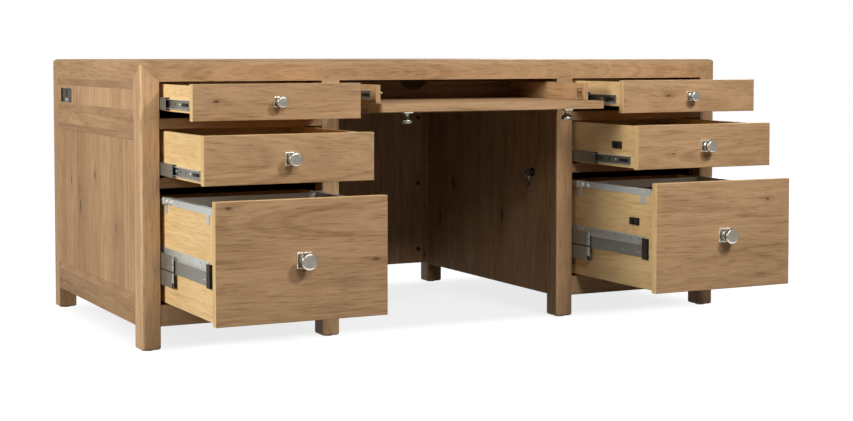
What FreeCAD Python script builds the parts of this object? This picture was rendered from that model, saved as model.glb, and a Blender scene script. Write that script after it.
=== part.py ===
# Oak pedestal desk: a top unit with two drawers and a keyboard tray on two pedestals,
# each with a middle drawer and a file drawer. All drawers stand open, as photographed.
# X runs along the desk, +Y to its back, +Z up. Sizes are in millimetres.
import FreeCAD, Part
import math
import os

Vector = FreeCAD.Vector

# Carcase
width = 1828.0
depth = 900.0
height = 762.0
pedestal_width = 565.0
post_width = 52.0
post_depth = 57.0
post_round = 9.0
foot_height = 64.0
foot_chamfer = 4.0
glide_radius = 14.0
glide_height = 3.0
bottom_rail_height = 56.0
divider_height = 27.0
middle_opening = 128.0
upper_opening = 97.0
top_edge_height = 56.0
top_edge_round = 14.0
top_edge_width = 40.0
top_panel_thickness = 25.0
corner_dome_radius = 55.0
rail_thickness = 22.0
rail_setback = 1.5
board_thickness = 18.0
thin_board = 12.0
kneehole_setback = 1.0
modesty_setback = 1.0
bottom_board_drop = 8.0
apron_lift = 2.0
apron_gap = 3.0

# Framed panels of the ends and the back
frame_thickness = 22.0
frame_margin = 1.5
rail_bevel = 20.0
stile_bevel = 12.0
panel_recess = 6.0
panel_thickness = 12.0
end_top_rail = 38.0
end_bottom_rail = 61.0

# Drawers
front_thickness = 22.0
front_gap = 2.5
front_round = 2.0
box_wall = 13.0
box_length = 500.0
box_bottom_thickness = 6.0
box_bottom_lift = 10.0
box_lift = {"upper": 21.0, "middle": 5.0, "file": 7.0}
box_top_gap = {"upper": 7.0, "middle": 5.0, "file": 25.0}
screw_radius = 2.0
screw_play = 0.2
screw_head_radius = 5.0
screw_head_height = 3.0

# How far each drawer stands out, and its intermediate runner members with it
drawer_out = {
    "upper_left": 260.0,
    "middle_left": 341.0,
    "file_left": 421.0,
    "upper_right": 266.0,
    "middle_right": 341.0,
    "file_right": 431.0,
}
member_out = {
    "upper_left": 102.0,
    "middle_left": 154.0,
    "file_left": 180.0,
    "upper_right": 133.0,
    "middle_right": 174.0,
    "file_right": 172.0,
}

# Knobs: head diameter, projection, side of the square plate, neck radius
knob_sizes = {
    "upper": (31.0, 32.0, 26.0, 6.0),
    "middle": (37.0, 37.0, 33.0, 7.5),
    "file": (43.0, 42.0, 39.0, 9.0),
}
knob_plate_thickness = 4.0
knob_neck_share = 0.38
knob_shoulder_share = 0.36
knob_edge = 2.0

# Side runners of the upper and middle drawers and of the tray
runner_gap = 12.7
runner_height = 35.0
runner_lift = 20.0
runner_length = 465.0
runner_start = 30.0
runner_sheet = 1.2
runner_play = 0.4
fixed_lip_gap = 3.2
middle_lip_gap = 2.2
drawer_member_inset = 4.0
ball_cage_height = 2.3
ball_cage_length = 40.0

# Heavy runners of the file drawers, from below
file_runner_lift = 55.0
file_lower_height = 37.0
file_ball_gap = 3.0
file_web_height = 34.0
file_strip_height = 24.0
file_fixed_drop = 11.0
file_web_inset = 5.6
file_cap_gap = 4.0
file_cap_start = 29.0
file_cap_length = 22.0
file_cap_margin = 5.0
file_cap_inset = 4.4

# Hanging-file rails
file_rail_length = 379.0
file_rail_start = 7.0
file_rail_sheet = 1.5
file_rail_drop = 15.0
file_rail_web = 2.0
file_tab_width = 21.0
file_tab_drop = 24.5
file_tab_front = 28.0
file_tab_rear = 4.0
file_knuckle_radius = 10.5
file_knuckle_width = 7.0
file_bar_inset = 22.0
file_bar_drop = 24.0

# Keyboard tray and drop front
tray_out = 218.0
tray_member_out = 90.0
tray_floor = 39.0
tray_base_thickness = 16.0
tray_side_thickness = 14.0
tray_top_gap = 9.5
tray_back_thickness = 12.0
tray_length = 453.0
tray_gap = 18.0
tray_front_gap = 8.0
tray_runner_lift = 21.5
tray_runner_length = 420.0
notch_width = 92.0
notch_depth = 26.0
pivot_inset = 4.25
pivot_play = 0.5
base_play = 0.6
pivot_pin_radius = 2.5
pivot_bore_play = 0.05
pivot_pin_seat = 5.0
leaf_thickness = 2.5
leaf_nose_radius = 3.9
leaf_arm_width = 5.0
leaf_plate = 26.0
leaf_reach = 20.0
leaf_stud_radius = 4.0
leaf_stud_length = 8.0
leaf_stud_inset = 7.0
pocket_margin = 1.7
pocket_play = 0.5
tray_knob_inset = 92.0

# Power outlet in the left end of the top unit
outlet_width = 123.0
outlet_depth = 34.0
outlet_wall = 2.0
outlet_face_recess = 5.0
outlet_back_margin = 3.0
outlet_low_margin = 3.0
outlet_high_margin = 9.0
outlet_gap = 2.0
socket_block_width = 40.0
socket_block_rise = 2.0
port_width = 44.0
port_height = 11.0
port_rise = 3.0

# Lock in the right pedestal's kneehole side
lock_y = 144.0
lock_drop = 32.0
lock_flange_radius = 13.0
lock_flange_height = 2.5
lock_barrel_radius = 9.5
plug_radius = 6.0
plug_play = 0.05
plug_proud = 0.8
shank_radius = 3.0
cam_radius = 10.0
cam_pin_radius = 1.5
cam_thickness = 2.5
cam_width = 7.0
cam_play = 0.3
slot_play = 0.45
bar_thickness = 2.5
bar_play = 0.3
bar_width = 20.0
bar_offset = 28.0
bar_tab_margin = 6.0
peg_width = 8.0
peg_height = 8.0
peg_play = 2.0
peg_reach_play = 1.2
catch_length = 38.0
catch_thickness = 9.0
catch_height = 20.0
catch_slot_play = 1.0
catch_lift = {"middle_right": 57.0, "file_right": 182.0}
cleat_notch_margin = 8.0

# Keys
key_thickness = 2.2
key_bow_radius = 10.0
key_neck_length = 6.0
key_neck_width = 8.0
key_rim = 3.4
key_hole_radius = 4.0
ring_radius = 10.5
ring_wire_radius = 0.6
ring_play = 0.5
spare_bow_radius = 10.0
spare_rim = 3.0
spare_rim_play = 0.3
spare_blade_length = 24.0
spare_blade_width = 6.0

# Cleats that carry the runners
cleat_height = 50.0
cleat_overrun = 20.0
file_cleat_margin = 4.0

# Bolts that join the modesty panel to the pedestals
bolt_head_radius = 7.0
bolt_head_height = 2.0
bolt_inset = 17.0
bolt_end_inset = 47.5

# Levels and places that follow from the sizes; the file drawer takes the height that is left
top_z = height - top_edge_height
pedestal_top = top_z - upper_opening
middle_z = pedestal_top - divider_height - middle_opening
file_z = foot_height + bottom_rail_height
file_opening = middle_z - divider_height - file_z
half = width / 2
opening_outer = half - post_width
opening_inner = half - pedestal_width + post_width
knee = half - pedestal_width
back_post_y = depth - post_depth
drawer_centre = (opening_outer + opening_inner) / 2
drawer_half = (opening_outer - opening_inner) / 2
opening_low = {"upper": pedestal_top, "middle": middle_z, "file": file_z}
opening_high = {"upper": top_z, "middle": middle_z + middle_opening, "file": file_z + file_opening}
file_low = file_z + file_runner_lift
file_ledge = file_low + file_lower_height
file_channel = file_ledge + file_ball_gap
file_step = file_channel + file_web_height
file_top = file_step + file_strip_height
file_fixed_top = file_top - file_fixed_drop
kneehole_face = knee + kneehole_setback
kneehole_inner = kneehole_face + board_thickness
lock_z = middle_z - lock_drop
bar_y = lock_y - bar_offset
catch_z = {name: opening_low[name.split("_")[0]] + lift for name, lift in catch_lift.items()}
frame_inner = half - frame_thickness
tray_level = pedestal_top + tray_floor

# The origin is under the middle of the whole desk as it stands, open drawers included
front_reach = max(
    out + knob_sizes[name.split("_")[0]][1] for name, out in drawer_out.items()
)
origin_y = (depth - front_reach) / 2


def block(xs, ys, zs):
    """A box between pairs of X, Y and Z limits."""
    size = (xs[1] - xs[0], ys[1] - ys[0], zs[1] - zs[0])
    return Part.makeBox(*size, Vector(xs[0], ys[0], zs[0]))


def mirrored(shape):
    """The same shape on the other side of the desk."""
    return shape.mirror(Vector(0, 0, 0), Vector(1, 0, 0))


def moved(shape, x, y, z):
    """A copy of a shape, moved."""
    copy = shape.copy()
    copy.translate(Vector(x, y, z))
    return copy


def strip(points, y0, y1):
    """A straight strip along Y with the given outline in X and Z."""
    corners = [Vector(x, y0, z) for x, z in points]
    face = Part.Face(Part.makePolygon(corners + corners[:1]))
    return face.extrude(Vector(0, y1 - y0, 0))


def plate(points, x0, x1):
    """A flat plate along X with the given outline in Y and Z."""
    corners = [Vector(x0, y, z) for y, z in points]
    face = Part.Face(Part.makePolygon(corners + corners[:1]))
    return face.extrude(Vector(x1 - x0, 0, 0))


def rod(radius, start, end):
    """A round bar from one point to another."""
    axis = end - start
    return Part.makeCylinder(radius, axis.Length, start, axis)


def upright_edges(shape, x, y):
    """The vertical edges of a shape at one corner."""
    found = []
    for edge in shape.Edges:
        box = edge.BoundBox
        at_corner = abs(box.Center.x - x) < 0.01 and abs(box.Center.y - y) < 0.01
        if at_corner and box.ZLength > box.XLength + box.YLength:
            found.append(edge)
    return found


def level_edges(shape, z):
    """The horizontal edges of a shape at one height."""
    return [
        edge for edge in shape.Edges
        if edge.BoundBox.ZLength < 0.01 and abs(edge.BoundBox.Center.z - z) < 0.01
    ]


def pedestal_post(xs, ys, corner):
    """A pedestal post with its outer arris rounded and its foot chamfered."""
    post = block(xs, ys, (glide_height, pedestal_top))
    post = post.makeFillet(post_round, upright_edges(post, *corner))
    return post.makeChamfer(foot_chamfer, level_edges(post, glide_height))


def pedestal_posts():
    """The four posts of the left pedestal."""
    outer = (-half, -opening_outer)
    inner = (-opening_inner, -knee)
    front = (0, post_depth)
    back = (back_post_y, depth)
    return [
        pedestal_post(outer, front, (-half, 0)),
        pedestal_post(inner, front, (-knee, 0)),
        pedestal_post(outer, back, (-half, depth)),
        pedestal_post(inner, back, (-knee, depth)),
    ]


def foot_glides():
    """A round glide under each foot of the left pedestal."""
    glides = []
    for x in (half - post_width / 2, knee + post_width / 2):
        for y in (post_depth / 2, depth - post_depth / 2):
            glides.append(rod(glide_radius, Vector(-x, y, 0), Vector(-x, y, glide_height)))
    return glides


def framed_panel(length, low, high, low_flat, high_flat):
    """A bevelled frame and its recessed panel, facing -Y, from X = 0 to its length."""
    side = frame_margin + stile_bevel
    low_in = low + low_flat + rail_bevel
    high_in = high - high_flat - rail_bevel
    slab = block((0, length), (0, frame_thickness), (low, high))
    bevel = Part.makeWedge(
        frame_margin - stile_bevel, -panel_recess, low + low_flat - rail_bevel,
        low_in, side,
        length - frame_margin + stile_bevel, panel_recess, high - high_flat + rail_bevel,
        high_in, length - side,
    )
    field = ((side, length - side), (low_in, high_in))
    hole = block(field[0], (panel_recess, frame_thickness), field[1])
    ring = slab.cut(bevel).cut(hole)
    whole = (-1, length + 1)
    through = (-1, frame_thickness + 1)
    rails = [
        ring.common(block(whole, through, (low - 1, low_in))),
        ring.common(block(whole, through, (high_in, high + 1))),
        ring.common(block((-1, side), through, field[1])),
        ring.common(block((length - side, length + 1), through, field[1])),
    ]
    panel = block(field[0], (panel_recess, panel_recess + panel_thickness), field[1])
    return rails, panel


def on_left_end(shape):
    """Turn a framed panel to face the left end, between the posts."""
    turned = shape.copy()
    turned.rotate(Vector(0, 0, 0), Vector(0, 0, 1), -90)
    return moved(turned, -half, back_post_y, 0)


def on_back(shape, right_x):
    """Turn a framed panel to face the back, from its right-hand end."""
    turned = shape.copy()
    turned.rotate(Vector(0, 0, 0), Vector(0, 0, 1), 180)
    return moved(turned, right_x, depth, 0)


def pedestal_frames():
    """The end and back frames of the left pedestal, and their panels."""
    level = (foot_height, pedestal_top, end_bottom_rail, end_top_rail)
    end_rails, end_panel = framed_panel(back_post_y - post_depth, *level)
    back_rails, back_panel = framed_panel(opening_outer - opening_inner, *level)
    rails = [on_left_end(rail) for rail in end_rails]
    rails += [on_back(rail, -opening_inner) for rail in back_rails]
    panels = [on_left_end(end_panel), on_back(back_panel, -opening_inner)]
    return rails, panels


def front_rails():
    """The three rails across the front of the left pedestal."""
    levels = [
        (foot_height, file_z),
        (file_z + file_opening, middle_z),
        (middle_z + middle_opening, pedestal_top),
    ]
    ys = (rail_setback, rail_setback + rail_thickness)
    return [block((-opening_outer, -opening_inner), ys, zs) for zs in levels]


def pedestal_boards():
    """The kneehole side, bottom board and top board of the left pedestal."""
    ys = (post_depth, back_post_y)
    across = (-frame_inner, -kneehole_inner)
    bottom_high = file_z - bottom_board_drop
    return [
        block((-kneehole_inner, -kneehole_face), ys, (foot_height, pedestal_top)),
        block(across, ys, (bottom_high - thin_board, bottom_high)),
        block(across, ys, (pedestal_top - thin_board, pedestal_top)),
    ]


def runner_centre(kind):
    """Height of the runners of an upper or middle drawer."""
    return opening_low[kind] + box_lift[kind] + runner_lift


def cleat_levels(kind):
    """Lower and upper edge of the cleats that carry a drawer's runners."""
    if kind == "file":
        return file_low - file_cleat_margin, file_fixed_top + file_cleat_margin
    centre = runner_centre(kind)
    return centre - cleat_height / 2, centre + cleat_height / 2


def outer_cleat(kind):
    """The cleat on the outer side of a left-hand drawer; in the top unit it stops short of the outlet."""
    back = back_post_y
    if kind == "upper":
        back = front_thickness + runner_start + runner_length + cleat_overrun
    return block((-frame_inner, -opening_outer), (post_depth, back), cleat_levels(kind))


def inner_cleats(kind, lock_side):
    """The cleats on the kneehole side of a left-hand drawer, in two lengths beside the lock bar."""
    xs = (-opening_inner, -kneehole_inner)
    zs = cleat_levels(kind)
    crossed = lock_side and kind == "middle"
    if not crossed:
        return [block(xs, (post_depth, back_post_y), zs)]
    notch = bar_width / 2 + cleat_notch_margin
    return [block(xs, (post_depth, bar_y - notch), zs), block(xs, (bar_y + notch, back_post_y), zs)]


def envelope():
    """The outer form of the top unit, with upright arrises and top edges each rounded to its radius."""
    whole = block((-half, half), (0, depth), (pedestal_top, height))
    upright = whole
    for x in (-half, half):
        for y in (0, depth):
            upright = upright.makeFillet(post_round, upright_edges(upright, x, y))
    top = level_edges(whole, height)
    along = whole.makeFillet(top_edge_round, [edge for edge in top if edge.BoundBox.XLength > edge.BoundBox.YLength])
    across = whole.makeFillet(top_edge_round, [edge for edge in top if edge.BoundBox.YLength > edge.BoundBox.XLength])
    return upright.common(along).common(across)


def corner_post():
    """The front left corner post of the top unit, domed where it rises into the top."""
    xs = (-half, -opening_outer)
    stem = block(xs, (0, post_depth), (pedestal_top, top_z))
    head = block(xs, (0, post_depth), (top_z, height))
    along_x = rod(corner_dome_radius, Vector(-half, 0, top_z), Vector(-half + width, 0, top_z))
    along_y = rod(corner_dome_radius, Vector(-half, 0, top_z), Vector(-half, depth, top_z))
    return stem.fuse(head.common(along_x).common(along_y)).removeSplitter()


def four_corners(shape):
    """A front left shape at all four corners of the desk."""
    back = shape.mirror(Vector(0, depth / 2, 0), Vector(0, 1, 0))
    return [shape, mirrored(shape), back, mirrored(back)]


def top_unit(outer):
    """The top panel, edge rails and posts of the top unit, cut to its rounded outer form."""
    corners = four_corners(corner_post())
    front_rail = block((-half, half), (0, top_edge_width), (top_z, height))
    back_rail = block((-half, half), (depth - top_edge_width, depth), (top_z, height))
    side_ys = (top_edge_width, depth - top_edge_width)
    end_rail = block((-half, -half + top_edge_width), side_ys, (top_z, height))
    panel = block(
        (-half + top_edge_width, half - top_edge_width), side_ys, (height - top_panel_thickness, height)
    )
    rails = [front_rail, back_rail, end_rail, mirrored(end_rail)]
    for corner in corners:
        rails = [rail.cut(corner) for rail in rails]
        panel = panel.cut(corner)
    rails = [rail.common(outer) for rail in rails]
    posts = [corner.common(outer) for corner in corners]
    inner = block((-opening_inner, -knee), (0, post_depth), (pedestal_top, top_z))
    return panel, rails, posts + [inner, mirrored(inner)]


def outlet_place():
    """Y and Z limits of the power outlet in the left end panel."""
    y1 = back_post_y - frame_margin - stile_bevel - outlet_back_margin
    edge = frame_margin + rail_bevel
    zs = (pedestal_top + edge + outlet_low_margin, top_z - edge - outlet_high_margin)
    return (y1 - outlet_width, y1), zs


def upper_frames():
    """The end and back frames of the top unit, and their panels; the left panel takes the outlet."""
    level = (pedestal_top, top_z, frame_margin, frame_margin)
    end_rails, end_panel = framed_panel(back_post_y - post_depth, *level)
    back_rails, back_panel = framed_panel(2 * opening_outer, *level)
    left_rails = [on_left_end(rail) for rail in end_rails]
    left_panel = on_left_end(end_panel)
    cut_out = block((-half, -half + outlet_depth), *outlet_place())
    ends = left_rails + [mirrored(rail) for rail in left_rails]
    ends += [left_panel.cut(cut_out), mirrored(left_panel)]
    back = [on_back(rail, opening_outer) for rail in back_rails]
    back.append(on_back(back_panel, opening_outer))
    return ends, back


def upper_partitions():
    """The boards each side of the keyboard tray, and the apron under it."""
    ys = (post_depth, depth - frame_thickness)
    zs = (pedestal_top, top_z)
    boards = []
    for x in (opening_inner - board_thickness, knee):
        board = block((-x - board_thickness, -x), ys, zs)
        boards += [board, mirrored(board)]
    apron_ys = (post_depth, post_depth + rail_thickness)
    apron_zs = (pedestal_top + apron_lift, tray_level - tray_base_thickness - apron_gap)
    boards.append(block((-knee, knee), apron_ys, apron_zs))
    return boards


def modesty_panel():
    """The panel that closes the back of the kneehole."""
    ys = (depth - modesty_setback - board_thickness, depth - modesty_setback)
    return block((-knee, knee), ys, (foot_height, pedestal_top))


def joining_bolts():
    """Bolt caps on the kneehole face of the modesty panel, near both pedestals."""
    face = depth - modesty_setback - board_thickness
    low, high = foot_height + bolt_end_inset, pedestal_top - bolt_end_inset
    bolts = []
    for x in (-knee + bolt_inset, knee - bolt_inset):
        for z in (low, (low + high) / 2, high):
            bolts.append(rod(bolt_head_radius, Vector(x, face - bolt_head_height, z), Vector(x, face, z)))
    return bolts


def power_outlet():
    """The recessed shell of the outlet, two socket blocks and a metal charging port."""
    ys, zs = outlet_place()
    face_x = -half + panel_recess
    xs = (face_x, -half + outlet_depth)
    shell = block(xs, ys, zs)
    inside = block(
        (face_x, face_x + outlet_face_recess),
        (ys[0] + outlet_wall, ys[1] - outlet_wall),
        (zs[0] + outlet_wall, zs[1] - outlet_wall),
    )
    seat_x = face_x + outlet_face_recess
    middle_y = (ys[0] + ys[1]) / 2
    port_low = zs[0] + outlet_wall
    port_high = port_low + port_height
    port = block(
        (seat_x - port_rise, seat_x),
        (middle_y - port_width / 2, middle_y + port_width / 2),
        (port_low, port_high),
    )
    blocks = []
    for shift in (-outlet_width / 4, outlet_width / 4):
        socket_y = middle_y + shift
        blocks.append(block(
            (seat_x - socket_block_rise, seat_x),
            (socket_y - socket_block_width / 2, socket_y + socket_block_width / 2),
            (port_high + outlet_gap, zs[1] - outlet_wall - outlet_gap),
        ))
    return [shell.cut(inside), port] + blocks


def both_sides(shape, face):
    """A runner drawn outwards from X = 0 as its fixed wall, set on both walls of an opening."""
    left = moved(shape, -face, 0, 0)
    return [left, mirrored(left)]


def channel(web, lip, half_height, y0, y1, centre):
    """A C-shaped steel member from its web to its lips, open towards its lips."""
    sheet = math.copysign(runner_sheet, lip - web)
    low, high = centre - half_height, centre + half_height
    outline = [
        (web, low), (lip, low), (lip, low + runner_sheet), (web + sheet, low + runner_sheet),
        (web + sheet, high - runner_sheet), (lip, high - runner_sheet), (lip, high), (web, high),
    ]
    return strip(outline, y0, y1)


def side_runner(centre, length):
    """Fixed, middle and drawer member of a side runner, closed, drawn from its fixed wall."""
    y0 = front_thickness + runner_start
    y1 = y0 + length
    middle_web = runner_sheet + runner_play
    middle_half = runner_height / 2 - runner_sheet - runner_play
    middle_lip = runner_gap - middle_lip_gap
    fixed = channel(0, runner_gap - fixed_lip_gap, runner_height / 2, y0, y1, centre)
    middle = [channel(middle_web, middle_lip, middle_half, y0, y1, centre)]
    cage = (middle_half - runner_sheet - ball_cage_height, middle_half - runner_sheet)
    drawer = channel(runner_gap, drawer_member_inset, cage[0] - runner_play, y0, y1, centre)
    for zs in ((centre + cage[0], centre + cage[1]), (centre - cage[1], centre - cage[0])):
        middle.append(block((drawer_member_inset, middle_lip), (y0, y0 + ball_cage_length), zs))
    return [fixed], middle, [drawer]


def file_runner():
    """Fixed, middle and drawer member of a heavy file runner, closed, drawn from its fixed wall."""
    sheet = runner_sheet
    cap_y = front_thickness + file_cap_start
    member_y = cap_y + file_cap_length
    y0 = member_y + file_cap_gap
    y1 = front_thickness + runner_length
    lip = runner_gap - sheet
    fixed = strip([
        (0, file_low), (lip, file_low), (lip, file_low + sheet), (sheet, file_low + sheet),
        (sheet, file_fixed_top - sheet), (file_web_inset - runner_play, file_fixed_top - sheet),
        (file_web_inset - runner_play, file_fixed_top), (0, file_fixed_top),
    ], y0, y1)
    web = sheet + runner_play
    foot = file_low + sheet + runner_play
    head = file_fixed_top - sheet - runner_play
    middle = strip([
        (web, foot), (lip, foot), (lip, foot + sheet), (web + sheet, foot + sheet),
        (web + sheet, file_ledge - sheet), (lip, file_ledge - sheet), (lip, file_ledge),
        (web + sheet, file_ledge), (web + sheet, head), (web, head),
    ], y0, y1)
    cage_zs = (file_ledge, file_channel - runner_play)
    cage = block((file_web_inset, lip), (y0, y0 + ball_cage_length), cage_zs)
    drawer = strip([
        (file_web_inset, file_channel), (lip, file_channel), (lip, file_channel + sheet),
        (file_web_inset + sheet, file_channel + sheet), (file_web_inset + sheet, file_step - sheet),
        (runner_gap, file_step - sheet), (runner_gap, file_top), (lip, file_top), (lip, file_step),
        (file_web_inset, file_step),
    ], member_y, y1)
    cap = block(
        (file_cap_inset, runner_gap),
        (cap_y, member_y),
        (file_channel - file_cap_margin, file_top - file_cap_margin),
    )
    return [fixed], [middle, cage], [drawer, cap]


def knob(kind):
    """A knob with its square plate, standing out towards -Y from Y = 0."""
    head_diameter, projection, plate_side, neck = knob_sizes[kind]
    head = head_diameter / 2
    back = -knob_plate_thickness
    base = block((-plate_side / 2, plate_side / 2), (back, 0), (-plate_side / 2, plate_side / 2))
    base = base.makeChamfer(knob_plate_thickness / 4, [
        edge for edge in base.Edges if abs(edge.BoundBox.YMax - back) < 0.01
    ])
    reach = projection - knob_plate_thickness
    neck_end = back - reach * knob_neck_share
    shoulder = neck_end - reach * knob_shoulder_share
    bulge = math.sqrt(0.5)
    crown = Vector(neck + (head - neck) * bulge, shoulder + (neck_end - shoulder) * bulge, 0)
    outline = [(head, shoulder), (head, -projection + knob_edge), (head - knob_edge, -projection),
               (0, -projection), (0, back), (neck, back), (neck, neck_end)]
    corners = [Vector(radius, y, 0) for radius, y in outline]
    dome = Part.Arc(corners[-1], crown, corners[0]).toShape()
    sides = [Part.makeLine(first, second) for first, second in zip(corners, corners[1:])]
    half_section = Part.Face(Part.Wire(sides + [dome]))
    return [base, half_section.revolve(Vector(0, 0, 0), Vector(0, 1, 0), 360)]


def knob_screw(grip):
    """The screw that holds a knob from inside, through a given thickness of wood."""
    shank = rod(screw_radius, Vector(0, 0, 0), Vector(0, grip, 0))
    head = rod(screw_head_radius, Vector(0, grip, 0), Vector(0, grip + screw_head_height, 0))
    return shank.fuse(head).removeSplitter()


def front_panel(xs, ys, zs):
    """A drawer front with its front arrises eased."""
    panel = block(xs, ys, zs)
    front_edges = [edge for edge in panel.Edges if edge.BoundBox.YMax < ys[0] + 0.01]
    return panel.makeFillet(front_round, front_edges)


def pedestal_drawer(kind):
    """Front, box, knob and runners of a drawer, closed, centred on X = 0."""
    zs = (opening_low[kind] + front_gap, opening_high[kind] - front_gap)
    centre_z = (zs[0] + zs[1]) / 2
    face = (-drawer_half + front_gap, drawer_half - front_gap)
    low = opening_low[kind] + box_lift[kind]
    high = opening_high[kind] - box_top_gap[kind]
    outer = drawer_half - runner_gap
    inner = outer - box_wall
    y0 = front_thickness
    y1 = y0 + box_length
    hole = rod(screw_radius + screw_play, Vector(0, 0, centre_z), Vector(0, y0 + box_wall, centre_z))
    front = front_panel(face, (0, y0), zs).cut(hole)
    floor = (low + box_bottom_lift, low + box_bottom_lift + box_bottom_thickness)
    side = block((-outer, -inner), (y0, y1), (low, high))
    inner_front = block((-inner, inner), (y0, y0 + box_wall), (low, high)).cut(hole)
    box = [
        side,
        mirrored(side),
        inner_front,
        block((-inner, inner), (y1 - box_wall, y1), (low, high)),
        block((-inner, inner), (y0 + box_wall, y1 - box_wall), floor),
    ]
    handle = [moved(piece, 0, 0, centre_z) for piece in knob(kind)]
    handle.append(moved(knob_screw(y0 + box_wall), 0, 0, centre_z))
    if kind == "file":
        members = file_runner()
    else:
        members = side_runner(runner_centre(kind), runner_length)
    fixed, middle, drawer = [
        [half_shape for shape in group for half_shape in both_sides(shape, drawer_half)] for group in members
    ]
    return {"front": [front], "box": box, "knob": handle, "runners": drawer, "middle": middle, "fixed": fixed}


def file_rails():
    """Hanging-file rails over the sides of a closed file drawer, each with a round knuckle at its
    rear end, and the bar across them."""
    top = opening_high["file"] - box_top_gap["file"]
    outer = drawer_half - runner_gap
    inner = outer - box_wall
    y0 = front_thickness + file_rail_start + box_wall
    y1 = y0 + file_rail_length
    sheet = file_rail_sheet
    foot = top - file_rail_drop
    hood = strip([
        (-outer - sheet, foot), (-outer, foot), (-outer, top), (-inner, top), (-inner, foot),
        (-inner + sheet, foot), (-inner + sheet, top + file_rail_web), (-outer - sheet, top + file_rail_web),
    ], y0, y1)
    tabs = []
    for tab_y in (y0 + file_tab_front, y1 - file_tab_rear - file_tab_width):
        tabs.append(block(
            (-outer - sheet, -outer), (tab_y, tab_y + file_tab_width), (foot - file_tab_drop, foot)
        ))
    rail_middle = (foot + top + file_rail_web) / 2
    knuckle_centre = Vector(-outer - sheet, y1 - file_knuckle_radius, rail_middle)
    knuckle = rod(file_knuckle_radius, knuckle_centre, knuckle_centre - Vector(file_knuckle_width, 0, 0))
    knuckle = knuckle.makeFillet(file_knuckle_width / 2, [
        edge for edge in knuckle.Edges if edge.BoundBox.XMax < -outer - sheet - file_knuckle_width + 0.01
    ])
    rail = hood.multiFuse(tabs + [knuckle]).removeSplitter()
    bar_y0 = y1 - file_bar_inset
    bar = block((-inner + sheet, inner - sheet), (bar_y0, bar_y0 + file_rail_web), (top - file_bar_drop, top))
    return [rail, mirrored(rail), bar]


# Geometry of the drop front's pivot, with the tray closed
front_low = pedestal_top + front_gap
front_high = top_z - front_gap
tray_half = knee - tray_gap
tray_packer = tray_gap - runner_gap
tray_runner_z = tray_level + tray_runner_lift
tray_side_inner = tray_half - tray_side_thickness
pivot_y = front_thickness - pivot_inset
pivot_z = tray_level - pivot_play - pivot_inset
pivot_sweep = math.hypot(pivot_z - front_low, pivot_inset)
tray_front_y = front_thickness + pivot_play
tray_back_y = front_thickness + tray_length


def keyboard_tray():
    """Base, sides and notched back of the keyboard tray, closed."""
    base_y = pivot_y + pivot_sweep + base_play
    side_zs = (tray_level, top_z - tray_top_gap)
    base = block((-tray_half, tray_half), (base_y, tray_back_y), (tray_level - tray_base_thickness, tray_level))
    side = block((-tray_half, -tray_side_inner), (tray_front_y, tray_back_y), side_zs)
    back_y = tray_back_y - tray_back_thickness
    back = block((-tray_side_inner, tray_side_inner), (back_y, tray_back_y), side_zs)
    notch_radius = ((notch_width / 2) ** 2 + notch_depth ** 2) / (2 * notch_depth)
    notch_z = side_zs[1] - notch_depth + notch_radius
    notch = rod(notch_radius, Vector(0, back_y, notch_z), Vector(0, tray_back_y, notch_z))
    return [base, side, mirrored(side), back.cut(notch)]


def tray_packing():
    """The strip that packs out the left-hand tray runner from its partition."""
    back = front_thickness + runner_start + tray_runner_length
    zs = (tray_runner_z - cleat_height / 2, tray_runner_z + cleat_height / 2)
    return block((-knee, -knee + tray_packer), (post_depth, back), zs)


def hinge_leaves():
    """Pivot leaves inside the tray sides, each with a stud and an arm to the drop front's pin."""
    x1 = -tray_side_inner + leaf_thickness
    xs = (-tray_side_inner, x1)
    axis = Vector(xs[0], pivot_y, pivot_z)
    across = Vector(leaf_thickness, 0, 0)
    nose = rod(leaf_nose_radius, axis, axis + across)
    reach = leaf_reach / math.sqrt(2)
    side = leaf_arm_width / 2 / math.sqrt(2)
    arm = plate([
        (pivot_y - side, pivot_z + side), (pivot_y + side, pivot_z - side),
        (pivot_y + reach + side, pivot_z + reach - side), (pivot_y + reach - side, pivot_z + reach + side),
    ], *xs)
    plate_y = pivot_y + reach - side
    plate_z = pivot_z + reach - side
    flat = block(xs, (plate_y, plate_y + leaf_plate), (plate_z, plate_z + leaf_plate))
    bore = rod(pivot_pin_radius + pivot_bore_play, axis - across, axis + across + across)
    stud_end = Vector(x1, plate_y + leaf_stud_inset, plate_z + leaf_plate - leaf_stud_inset)
    stud = rod(leaf_stud_radius, stud_end, stud_end + Vector(leaf_stud_length, 0, 0))
    leaf = nose.multiFuse([arm, flat, stud]).removeSplitter().cut(bore)
    return [leaf, mirrored(leaf)]


def drop_front():
    """The tray's front, upright, with a pocket at its back for each hinge arm, and the two pins."""
    face = (-knee + tray_front_gap, knee - tray_front_gap)
    panel = front_panel(face, (0, front_thickness), (front_low, front_high))
    pocket_xs = (-tray_side_inner - pocket_play, -tray_side_inner + leaf_thickness + pocket_play)
    pocket_depth = pivot_inset + leaf_nose_radius + pocket_play
    pocket_half = pivot_inset + leaf_arm_width / math.sqrt(2) + pocket_margin
    pocket = block(
        pocket_xs,
        (front_thickness - pocket_depth, front_thickness),
        (pivot_z - pocket_half, pivot_z + pocket_half),
    )
    pin = rod(
        pivot_pin_radius,
        Vector(pocket_xs[0] - pivot_pin_seat, pivot_y, pivot_z),
        Vector(pocket_xs[1] + pivot_pin_seat, pivot_y, pivot_z),
    )
    pins = [pin, mirrored(pin)]
    for cutter in (pocket, mirrored(pocket), *pins):
        panel = panel.cut(cutter)
    return panel, pins


def tray_knobs():
    """Two small knobs on the drop front, upright."""
    centre_z = (front_low + front_high) / 2
    knobs = []
    knob_x = knee - tray_front_gap - tray_knob_inset
    for x in (-knob_x, knob_x):
        knobs += [moved(piece, x, 0, centre_z) for piece in knob("upper")]
    return knobs


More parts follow.
